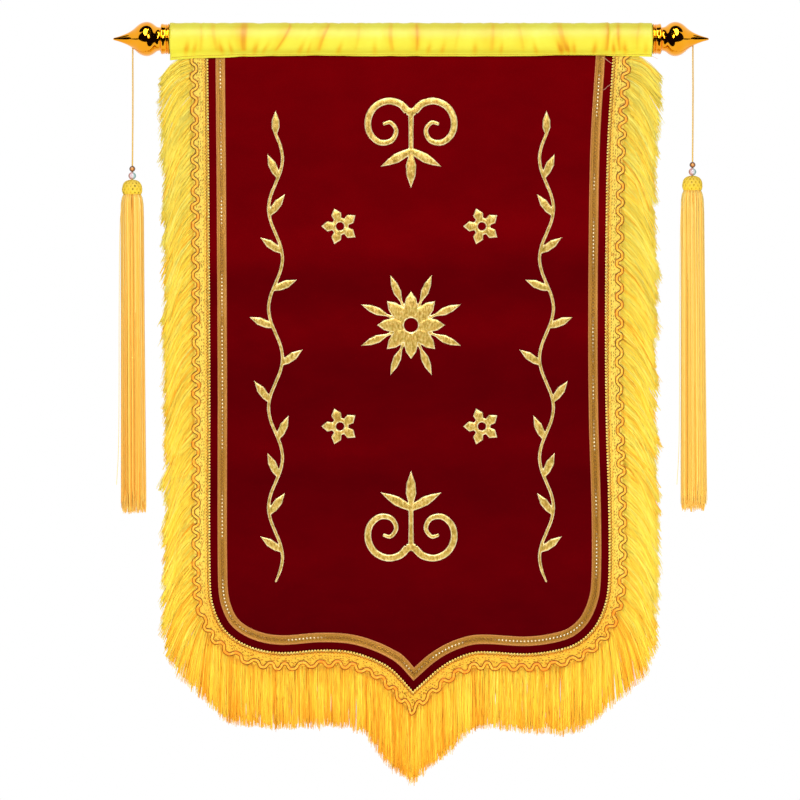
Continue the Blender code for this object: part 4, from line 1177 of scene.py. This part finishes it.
def make_wave():
    """The flat cord couched in waves along the header, a dark thread on each of its edges."""
    flat, bends = wave_route(1.7 * MM)
    line = sewn_on(flat, 2.3 * MM)
    gold = Finish("wavy_cord", Roughness=0.5, Specular_IOR_Level=0.2)
    twist = gold.noise(430, detail=2)
    plain = gold.ramp(twist, [
        (0.3, (0.72, 0.33, 0.02)), (0.6, (0.96, 0.60, 0.06)), (0.8, (1.0, 0.80, 0.19)),
    ])
    glow = gold.sums("MULTIPLY", gold.painted("bend"), 0.8)
    gold.colour(gold.blend(glow, plain, (0.88, 0.24, 0.008, 1.0))).relief(twist, 0.5, 0.0006)
    wave = tubes("header_wave", line[None], WAVE_HALF_WIDTH, gold.material, 8, 0.5, bend=bends)
    wear(wave, "silk", "fringe")
    dark = Finish("outline_thread", Roughness=0.6, Specular_IOR_Level=0.2)
    thread = dark.ramp(dark.noise(150, detail=3), [
        (0.35, (0.035, 0.007, 0.001)), (0.50, (0.15, 0.030, 0.002)), (0.62, (0.50, 0.14, 0.005)),
    ])
    dark.colour(dark.blend(dark.painted("bend"), thread, (0.80, 0.20, 0.006, 1.0)))
    edges = np.stack([beside(line, sign * WAVE_HALF_WIDTH) for sign in (-1, 1)])
    edges[..., 1] -= 0.75 * MM
    outline = tubes("header_wave_outline", edges, 0.64 * MM, dark.material, 4, bend=bends * 0.45)
    wear(outline, "silk", "fringe")
    return gold.material, dark.material


def make_header_threads(gold, dark):
    """The zigzag beside the picots, a guard thread, and rows of small dull stitches."""
    points, ways, run = round_border(5.0 * MM, PICOT_PITCH / 4)
    phase = math.tau * run / PICOT_PITCH
    for name, out, radius, material, bend in (
        ("header_zigzag", 5.2 + 1.1 * np.sin(phase), 0.7, dark, 0.3),
        ("header_guard_thread", 8.4 + 0.6 * np.sin(phase + 1.2), 0.5, gold, 0.15),
    ):
        line = sewn_on(points + ways * out[:, None] * MM, 2.2 * MM)
        wear(tubes(name, line[None], radius * MM, material, 4, bend=bend), "silk", "fringe")
    chance = np.random.default_rng(5)
    reach = np.array([-1.3, 0.0, 1.3]) * MM
    paths = []
    for column in HEADER_STITCH_COLUMNS:
        points, ways, run = round_border(column * MM, PICOT_PITCH)
        kept = chance.uniform(0, 1, len(points)) < HEADER_STITCH_SHARE
        along = unit(np.gradient(points, axis=0))[kept]
        astray = along * chance.normal(0, 0.4, (kept.sum(), 1)) * MM
        at = (points + ways * column * MM)[kept] + astray
        slanting = along + 0.3 * ways[kept]
        paths.append(sewn_on(at[:, None] + slanting[:, None] * reach[:, None], 2.25 * MM))
    stitches = tubes("header_stitches", np.concatenate(paths), 0.42 * MM, dark, 4, bend=0.1)
    wear(stitches, "silk", "fringe")


def make_picots():
    """The row of small bright loops along the header's inner edge."""
    points, ways, run = round_border(2.0 * MM, PICOT_PITCH)
    arc = np.linspace(-0.4, math.pi + 0.4, 8)
    along = unit(np.gradient(points, axis=0))
    centres = points + ways * 2.6 * MM
    loops = (centres[:, None] + along[:, None] * (PICOT_RADIUS * np.cos(arc))[None, :, None]
             - ways[:, None] * (1.5 * PICOT_RADIUS * np.sin(arc))[None, :, None])
    pale = Finish("picot_thread", Roughness=0.5, Specular_IOR_Level=0.15)
    tones = [(0.3, (0.90, 0.42, 0.04)), (0.5, (1.0, 0.72, 0.14)), (0.7, (1.0, 0.92, 0.38))]
    pale.colour(pale.ramp(pale.noise(400), tones))
    picots = tubes("header_picots", sewn_on(loops, 1.5 * MM), 0.85 * MM, pale.material, sides=4)
    wear(picots, "silk", "fringe")


def make_header():
    """The fringe's header with all that is worked on it."""
    make_header_band()
    make_header_threads(*make_wave())
    make_picots()


def warmth(z):
    """How golden the fringe is at a height: pale above, warmer at the lower edge."""
    return 0.25 + 0.90 * smoothstep(-0.80, -0.97, z)


def in_tufts(run, width, chance):
    """Uneven tufts along a run: each strand's tuft, and how far it is from its tuft's middle."""
    ends = np.cumsum(width * chance.uniform(0.5, 1.5, int(run[-1] / width * 1.3) + 2))
    starts = np.concatenate([[0.0], ends[:-1]])
    tuft = np.searchsorted(ends, run)
    return tuft, run - (starts + ends)[tuft] / 2


def make_fringe():
    """Combed silk, in tufts: out and down at the sides, straight down along the lower edge."""
    points, ways, run = round_border(HEADER_WIDTH, STRAND_SPACING)
    chance = np.random.default_rng(21)
    n = len(points)
    tuft, astray = in_tufts(run, TUFT_WIDTH, chance)
    lock, _ = in_tufts(run + chance.normal(0, 0.3, n) * MM, LOCK_WIDTH, chance)

    def uneven(group, amount):
        return amount * chance.normal(0, 1, group.max() + 1)[group]

    backing = chance.uniform(0, 1, n) < BACKING_SHARE
    over = (chance.uniform(0, 1, n) < OVER_SHARE) & ~backing
    root_out = np.where(over, chance.uniform(24, 26, n), chance.uniform(25, 28, n)) * MM
    roots = points + ways * root_out[:, None]
    x, z = roots[:, 0], roots[:, 1]
    sign = np.where(np.arange(n) < n / 2, -1, 1)
    near_top = smoothstep(TOP_LOCKS_ABOVE, HEM_HEIGHT, z)
    at_side = smoothstep(LEAN_ENDS[1], LEAN_ENDS[0], z)
    wild = chance.uniform(0, 1, n) < WILD_SHARE
    combed = np.interp(run, np.linspace(0, run[-1], 260), chance.normal(0, 2.1, 260))
    astray_lean = (combed + uneven(lock, 0.8)) * (0.12 + 0.88 * at_side)
    astray_lean += chance.normal(0, 1.5, n) + wild * chance.normal(0, 6, n)
    point = smoothstep(*POINT_WITHIN, np.abs(x))
    length = STRAND_LENGTH * (1 - TOP_LOCKS_SHORT * near_top) + POINT_EXTRA * point
    for place, half, extra in CORNER_EXTRAS:
        near = np.exp(-(((x - place * MM) / (half * MM)) ** 2)) * smoothstep(-0.84, -0.92, z)
        length += extra * MM * near
    length += (uneven(tuft, 1.3) + uneven(lock, 1.2) + chance.normal(0, 1.2, n)) * MM
    short = chance.uniform(0, 1, n) < SHORT_SHARE
    length -= np.where(short, chance.uniform(*SHORT_BY, n), 0) * MM
    length = (length + (HEADER_WIDTH - root_out) * 0.85) * np.where(backing, 0.93, 1.0)
    share = np.array(STRAND_SHARES)
    start = SIDE_LEAN[0] * at_side + (TOP_LEAN[0] - SIDE_LEAN[0]) * near_top
    finish = SIDE_LEAN[1] * at_side + (TOP_LEAN[1] - SIDE_LEAN[1]) * near_top
    more = np.where(sign > 0, LEAN_MORE[1] * smoothstep(*LEAN_MORE_FROM, z), LEAN_MORE[-1])
    astray_lean += more * smoothstep(*LEAN_MORE_TO, z)
    bend = smoothstep(0.0, 0.85, share)
    wave = chance.normal(0, 1.4, (n, 1)) * np.sin(share * 5.0 + chance.uniform(0, math.tau, (n, 1)))
    wave *= 0.5 + 0.5 * at_side[:, None]
    lean = start[:, None] + (finish - start)[:, None] * bend + astray_lean[:, None] + wave
    lean = np.radians(lean)
    forward = length[:, None] * np.diff(share, prepend=0.0)
    px = x[:, None] + np.cumsum(sign[:, None] * np.sin(lean) * forward, axis=1)
    pz = z[:, None] - np.cumsum(np.cos(lean) * forward, axis=1)
    along = unit(np.gradient(points + ways * HEADER_WIDTH, axis=0))
    gather = -(0.03 + 0.09 * at_side)[:, None] * astray[:, None] * smoothstep(0.3, 1.0, share)
    px += along[:, 0:1] * gather
    pz += along[:, 1:2] * gather
    base = -(VELVET_THICKNESS / 2 + LAP)
    depth = np.where(over, -2.4 * MM, -chance.uniform(0.3, 2.2, n) * MM) + base + 1.2 * MM * backing
    fall = drift(x, z)[:, None] * (1 - 0.5 * share)
    loose = (uneven(tuft, 0.8) + chance.normal(0, 0.7, n)) * MM
    settled = (base - 1.4 * MM - depth)[:, None] * 0.7 * smoothstep(0.05, 0.7, share)
    py = fall + depth[:, None] + settled + loose[:, None] * smoothstep(0.0, 0.6, share)
    paths = np.stack([px, py, pz], axis=-1)
    thickness = chance.uniform(0.8, 1.2, n) * np.where(backing, BACKING_THICKER, 1.0)
    radii = STRAND_RADIUS * np.array(STRAND_TAPER) * thickness[:, None]
    streak, _ = in_tufts(run, STREAK_WIDTH, chance)
    # Darker streaks of painted shade between the locks
    shade_streak = (chance.uniform(0, 1, streak.max() + 1)[streak] < SHADE_STREAK_SHARE) & ~backing
    warm = warmth(z)
    tone = 0.61 + uneven(tuft, 0.02) + uneven(lock, 0.035) + uneven(streak, 0.06)
    tone -= (0.19 - 0.10 * warm) * shade_streak
    tone += 0.08 * smoothstep(-0.45, -0.08, z) + 0.03 * (sign > 0) - 0.06 * point
    # Painted shade on the strands behind and at the roots under the header; painted light towards
    # the tips, which turn darker there instead along the warm lower edge
    tone += chance.normal(0, 0.06, n) - 0.03 * backing - 0.15 * warm
    tone = tone[:, None] - 0.08 * np.exp(-share / 0.06)
    tone += (0.05 - 0.12 * warm)[:, None] * smoothstep(0.4, 1.0, share)
    silk = silk_finish("fringe_silk", [
        (0.0, (0.42, 0.15, 0.004)), (0.25, (0.90, 0.37, 0.015)), (0.44, (1.0, 0.63, 0.045)),
        (0.6, (0.91, 0.72, 0.080)), (0.8, (0.92, 0.82, 0.17)), (1.0, (0.94, 0.90, 0.38)),
    ])
    quarters = np.clip((np.arange(n) * 6 / n).astype(int), 0, 5)
    names = ("upper_left", "lower_left", "point_left", "point_right", "lower_right", "upper_right")
    for k, name in enumerate(names):
        kept = quarters == k
        piece = tubes("fringe_" + name, paths[kept], radii[kept], silk, flat=0.8, tone=tone[kept])
        wear(piece, "silk", "fringe")


def gold_relief_finish():
    """Puffed gold cloth: deeper on top, with a pale highlight painted along its rounded rims."""
    gold = Finish("puffed_gold", Metallic=0.35, Specular_IOR_Level=0.5)
    grain = gold.noise(330, (1, 1, 0.5), 3)
    patch = gold.noise(170, detail=3)
    plain = gold.ramp(grain, [
        (0.34, (0.46, 0.27, 0.040)), (0.5, (0.66, 0.43, 0.08)), (0.66, (0.84, 0.62, 0.20)),
    ])
    tinted = gold.ramp(patch, [
        (0.36, (0.66, 0.70, 0.42)), (0.46, (1.0, 1.0, 1.0)),
        (0.56, (1.0, 1.0, 1.0)), (0.66, (1.0, 0.82, 0.70)),
    ])
    cloth = gold.blend(0.7, plain, tinted, "MULTIPLY")
    limits = {"Value": patch, "From Min": 0.35, "From Max": 0.6, "To Min": 0.35}
    broken = gold.node("MapRange", limits)
    painted_rim_highlight = gold.sums("MULTIPLY", gold.painted("rim"), broken.outputs["Result"])
    gold.colour(gold.blend(painted_rim_highlight, cloth, (1.0, 0.90, 0.52, 1.0)))
    return gold.roughness(grain, 0.28, 0.42).relief(grain, 0.2, 0.0004).material


def make_ornament(name, strokes, size, material):
    """Strokes of changing width, puffed and fused into one body with a flat back."""
    made = []
    for k, (points, widths) in enumerate(strokes):
        line = smooth_line(np.array(points, float), steps=10)
        run = run_of(line)
        curve = bpy.data.curves.new(f"{name}_stroke_{k}", "CURVE")
        curve.dimensions = "3D"
        curve.bevel_depth = 1.0
        curve.bevel_resolution = 4
        curve.use_fill_caps = True
        spline = curve.splines.new("POLY")
        spline.points.add(len(line) - 1)
        half = np.maximum(np.interp(run, run[::10], widths) / 2, 0.45)
        for spot, (a, b), r in zip(spline.points, line, half):
            spot.co = (a * size * MM, 0.0, b * size * MM, 1.0)
            spot.radius = r * size * MM
        made.append(add_object(f"{name}_stroke_{k}", curve))
    deselect()
    for stroke in made:
        stroke.select_set(True)
    bpy.context.view_layer.objects.active = made[0]
    bpy.ops.object.convert(target="MESH")
    bpy.ops.object.join()
    piece = bpy.context.view_layer.objects.active
    piece.name = name + "_pattern"
    bpy.ops.object.mode_set(mode="EDIT")
    bpy.ops.mesh.select_all(action="SELECT")
    bpy.ops.mesh.remove_doubles(threshold=0.00001)
    bpy.ops.mesh.normals_make_consistent(inside=False)
    bpy.ops.object.mode_set(mode="OBJECT")
    apply_modifier(piece, "REMESH", mode="VOXEL", voxel_size=PUFF_VOXEL, use_smooth_shade=True)
    apply_modifier(piece, "SMOOTH", factor=0.5, iterations=6)
    points = places_of(piece)
    rise = (1 - np.exp(-np.maximum(-points[:, 1], 0.0) / PUFF_ROUND)) * PUFF_HEIGHT
    points[:, 1] = np.clip(points[:, 1], 0.0, 0.2 * MM) - rise
    set_places(piece, points)
    apply_modifier(piece, "DECIMATE", ratio=PUFF_KEPT)
    # Painted highlight: rim marks where the surface turns away from the front
    normals = np.empty(len(piece.data.vertices) * 3, np.float32)
    piece.data.vertices.foreach_get("normal", normals)
    facing = -normals.reshape(-1, 3)[:, 1].astype(float)
    paint(piece, "rim", 1 - smoothstep(*RIM_HIGHLIGHT_FACING, facing))
    piece.data.materials.clear()
    piece.data.materials.append(material)
    piece.data.shade_smooth()
    return piece


def lay_ornament(pattern, name, across=0.0, height=0.0, flip=(1, 1)):
    """A copy of an ornament, laid on the velvet's own slight waves."""
    piece = copy_of(pattern, name + "_relief", across * MM, height * MM, flip)
    points = places_of(piece)
    points[:, 1] += drift(points[:, 0], points[:, 2]) - (VELVET_THICKNESS / 2 + ORNAMENT_LIFT)
    set_places(piece, points)
    wear(piece, "gold_relief", name)


def petal(turn, reach, widths, start=(0.0, 0.0)):
    """A straight stroke from a start, at an angle."""
    way = np.array([math.cos(turn), math.sin(turn)])
    return [tuple(np.array(start) + far * way) for far in reach], widths


def circle_stroke(radius, width, count=20):
    turns = np.linspace(0, math.tau, count + 1)
    return [(radius * math.cos(t), radius * math.sin(t)) for t in turns], [width] * (count + 1)


def cloud_strokes():
    half = np.array(CLOUD_HALF, float)
    lobes = [(half, CLOUD_WIDTHS), (half * (-1, 1), CLOUD_WIDTHS)]
    stem = [(CLOUD_BRIDGE, CLOUD_BRIDGE_WIDTHS), (CLOUD_STEM, CLOUD_STEM_WIDTHS)]
    lean = math.radians(CLOUD_LEAF_ANGLE)
    leaves = [
        petal(sign * lean - math.pi / 2, CLOUD_LEAF_REACH, CLOUD_LEAF_WIDTHS, CLOUD_LEAF_FROM)
        for sign in (-1, 1)
    ]
    return [*lobes, *stem, *leaves]


def flower_strokes():
    strokes = [circle_stroke(*FLOWER_RING)]
    for k in range(FLOWER_RAYS):
        reach, widths = (BUD_REACH, BUD_WIDTHS) if k % 2 else (PETAL_REACH, PETAL_WIDTHS)
        strokes.append(petal(math.tau * k / FLOWER_RAYS, reach, widths))
    return strokes


def blossom_strokes():
    rays = [petal(math.tau * (k + 0.5) / 5, BLOSSOM_REACH, BLOSSOM_WIDTHS) for k in range(5)]
    return [circle_stroke(*BLOSSOM_RING), *rays]


def vine_strokes():
    foot, top = VINE_ENDS
    heights = np.linspace(foot, top, VINE_SEGMENTS + 1)
    swing = VINE_SWING * np.sin(math.tau * VINE_WAVES * (heights - foot) / (top - foot))
    spine = np.stack([swing, heights], axis=1)
    strokes = [(spine, [0.55 * VINE_WIDTH] + [VINE_WIDTH] * VINE_SEGMENTS)]
    strokes.append(petal(math.pi / 2, VINE_BUD_REACH, VINE_BUD_WIDTHS, spine[-1]))
    for turn, k in enumerate(range(2, VINE_SEGMENTS - 1, 3)):
        ahead = spine[k + 1] - spine[k]
        lean = math.radians(VINE_LEAF_ANGLE) * (-1 if turn % 2 else 1)
        angle = math.atan2(ahead[1], ahead[0]) + lean
        between = (spine[k] + spine[k + 1]) / 2
        strokes.append(petal(angle, VINE_LEAF_REACH, VINE_LEAF_WIDTHS, between))
    return strokes


def make_ornaments():
    gold = gold_relief_finish()
    cloud = make_ornament("cloud", cloud_strokes(), CLOUD_SIZE, gold)
    flower = make_ornament("flower", flower_strokes(), 1, gold)
    blossom = make_ornament("blossom", blossom_strokes(), BLOSSOM_SIZE, gold)
    vine = make_ornament("vine", vine_strokes(), 1, gold)
    for name, height, way in CLOUDS:
        lay_ornament(cloud, name, 0, height, (1, way))
    lay_ornament(flower, "flower", 0, FLOWER_HEIGHT)
    for name, across, height in BLOSSOMS:
        lay_ornament(blossom, name, across, height)
    lay_ornament(vine, "vine_left", -VINE_ACROSS)
    lay_ornament(vine, "vine_right", VINE_ACROSS, flip=(-1, 1))
    for pattern in (cloud, flower, blossom, vine):
        bpy.data.objects.remove(pattern)


def plated_finish():
    plated = Finish(
        "gold_plate", Roughness=0.06, Metallic=1.0, Coat_Weight=0.3, Coat_Roughness=0.03
    )
    worn = plated.noise(30, detail=4)
    plated.colour(plated.ramp(worn, [(0.35, (0.92, 0.33, 0.001)), (0.65, (0.96, 0.41, 0.003))]))
    return plated.roughness(plated.noise(180, detail=4), 0.04, 0.10).material


def draw_out(step, ratio, about):
    """Extrudes the picked ring along the rod and sizes it about a place on the rod's axis."""
    bpy.ops.mesh.extrude_region_move(TRANSFORM_OT_translate={"value": (step, 0.0, 0.0)})
    bpy.ops.transform.resize(value=(1.0, ratio, ratio), center_override=(about, 0.0, 0.0))


def make_finial(name, sign, material):
    """A turned onion: a ring drawn out of the collar and sized along its profile to the tip."""
    profile = smooth_line(np.array(FINIAL_PROFILE[::-1]), steps=4) * MM
    start = sign * (ROD_HALF_LENGTH + profile[0][0])
    deselect()
    bpy.ops.mesh.primitive_circle_add(
        vertices=FINIAL_SIDES, radius=profile[0][1], location=(start, 0.0, 0.0),
        rotation=(0.0, math.pi / 2, 0.0),
    )
    finial = bpy.context.active_object
    finial.name = name
    bpy.ops.object.transform_apply(location=True, rotation=True)
    bpy.ops.object.mode_set(mode="EDIT")
    bpy.ops.mesh.select_all(action="SELECT")
    here, radius = profile[0]
    for out, size in profile[1:]:
        draw_out(sign * (out - here), size / radius, sign * (ROD_HALF_LENGTH + out))
        here, radius = out, size
    bpy.ops.mesh.merge(type="CENTER")
    bpy.ops.mesh.select_all(action="DESELECT")
    bpy.ops.mesh.select_mode(type="EDGE")
    bpy.ops.mesh.select_non_manifold()
    inner = sign * (ROD_HALF_LENGTH + 0.3 * MM)
    collar = sign * (ROD_HALF_LENGTH + profile[0][0])
    for step, ratio in (
        (inner - collar, 0.97), (0.0, SPIGOT_RADIUS / profile[0][1]), (-sign * SPIGOT_LENGTH, 0.98),
    ):
        draw_out(step, ratio, collar)
    bpy.ops.mesh.edge_face_add()
    bpy.ops.mesh.select_all(action="SELECT")
    bpy.ops.mesh.normals_make_consistent(inside=False)
    bpy.ops.object.mode_set(mode="OBJECT")
    finial.data.materials.append(material)
    bpy.ops.object.shade_smooth_by_angle(angle=math.radians(48))
    return finial


def finish_rod():
    """The plain wooden rod inside the sleeve keeps its solid and gets its grain."""
    wood = Finish("rod_wood_grain", Roughness=0.6)
    grain = wood.noise(60, (0.06, 1, 1), 5)
    wood.colour(wood.ramp(grain, [(0.3, (0.48, 0.30, 0.15)), (0.7, (0.74, 0.54, 0.33))]))
    wood.relief(grain, 0.3, 0.0004)
    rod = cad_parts["rod"]
    rod.data.materials.clear()
    rod.data.materials.append(wood.material)


def make_area_light(name, where, aim, size, power):
    """A soft light that lights the piece and is not itself reflected."""
    lamp = bpy.data.lights.new(name, "AREA")
    lamp.shape = "RECTANGLE"
    lamp.size, lamp.size_y = size
    lamp.energy = power
    light = add_object(name, lamp)
    light.location = where
    light.rotation_euler = (Vector(aim) - Vector(where)).to_track_quat("-Z", "Y").to_euler()
    light.visible_glossy = False


def make_world():
    """White for the camera and for reflections, and a softer white for the light it gives."""
    world = bpy.data.worlds.new("white_studio")
    bpy.context.scene.world = world
    world.use_nodes = True
    tree = world.node_tree
    tree.nodes.clear()
    output = tree.nodes.new("ShaderNodeOutputWorld")
    rays = tree.nodes.new("ShaderNodeLightPath")
    white, soft = (tree.nodes.new("ShaderNodeBackground") for _ in range(2))
    soft.inputs["Strength"].default_value = WORLD_LIGHT
    shown = tree.nodes.new("ShaderNodeMixShader")
    either = tree.nodes.new("ShaderNodeMath")
    either.operation = "MAXIMUM"
    tree.links.new(rays.outputs["Is Camera Ray"], either.inputs[0])
    tree.links.new(rays.outputs["Is Glossy Ray"], either.inputs[1])
    tree.links.new(either.outputs[0], shown.inputs["Fac"])
    tree.links.new(soft.outputs[0], shown.inputs[1])
    tree.links.new(white.outputs[0], shown.inputs[2])
    tree.links.new(shown.outputs[0], output.inputs["Surface"])
    for node in (white, soft):
        node.inputs["Color"].default_value = (1.0, 1.0, 1.0, 1.0)


def make_card(name, where, size, tilt, material, corners=64):
    """A rounded card that only bright metal sees; at a tilt of 90 degrees it stands."""
    deselect()
    bpy.ops.mesh.primitive_circle_add(
        vertices=corners, radius=0.5, fill_type="NGON", location=where
    )
    bpy.context.active_object.rotation_euler.x = math.radians(tilt)
    show_to_metal(bpy.context.active_object, name, size, material)


def show_to_metal(card, name, size, material):
    card.name = name
    card.scale = (*size, 1.0)
    card.data.materials.append(material)
    for rays in ("camera", "diffuse", "shadow", "transmission"):
        setattr(card, "visible_" + rays, False)


def card_finish(name, shade, strength):
    """An evenly glowing card."""
    card = Finish(name, Roughness=1.0, Specular_IOR_Level=0.0, Emission_Strength=strength)
    card.shader.inputs["Base Color"].default_value = (0.0, 0.0, 0.0, 1.0)
    card.shader.inputs["Emission Color"].default_value = (*shade, 1.0)
    return card.material


def make_studio():
    """Plain soft light, a pale floor, and the cards that the gold reflects."""
    for light in LIGHTS:
        make_area_light(*light)
    make_world()
    dark = card_finish("dark_card", (0.006, 0.003, 0.004), 1.0)
    for card in DARK_CARDS:
        make_card(*card, dark)
    bpy.context.active_object.rotation_euler.y = math.pi / 2
    bright = card_finish("bright_card", (1.0, 0.98, 0.94), CARD_STRENGTH)
    for sign in (-1, 1):
        for name, (across, ahead, up), size, tilt in BRIGHT_CARDS:
            make_card(name, (sign * across, ahead, up), size, tilt, bright, corners=32)
    deselect()
    bpy.ops.mesh.primitive_cylinder_add(
        vertices=64, radius=7.0, depth=0.7, end_fill_type="NOTHING", location=(0.0, 0.0, -0.05)
    )
    show_to_metal(bpy.context.active_object, "dark_horizon", (1.0, 1.0), dark)
    deselect()
    bpy.ops.mesh.primitive_circle_add(
        vertices=96, radius=FLOOR_RADIUS, fill_type="NGON", location=(0.0, 0.0, FLOOR_HEIGHT)
    )
    floor = bpy.context.active_object
    floor.name = "studio_floor"
    pale = Finish("pale_floor", Roughness=0.8)
    tones = [(0.3, (0.80, 0.80, 0.79)), (0.7, (0.86, 0.86, 0.85))]
    pale.colour(pale.ramp(pale.noise(3, detail=3), tones))
    floor.data.materials.append(pale.material)
    floor.visible_glossy = False
    floor.visible_shadow = False
    bpy.context.scene.view_settings.view_transform = "Standard"


def main():
    make_camera()
    make_tassels()
    velvet = make_velvet()
    sleeve = make_sleeve()
    make_stitches()
    make_loose_threads()
    make_tape()
    make_header()
    make_fringe()
    make_ornaments()
    finial = make_finial("onion_finial_left", -1, plated_finish())
    wear(copy_of(finial, "onion_finial_right", flip=(-1, 1)), "gold_plate", "finial_right")
    wear(finial, "gold_plate", "finial_left")
    finish_rod()
    make_studio()


main()
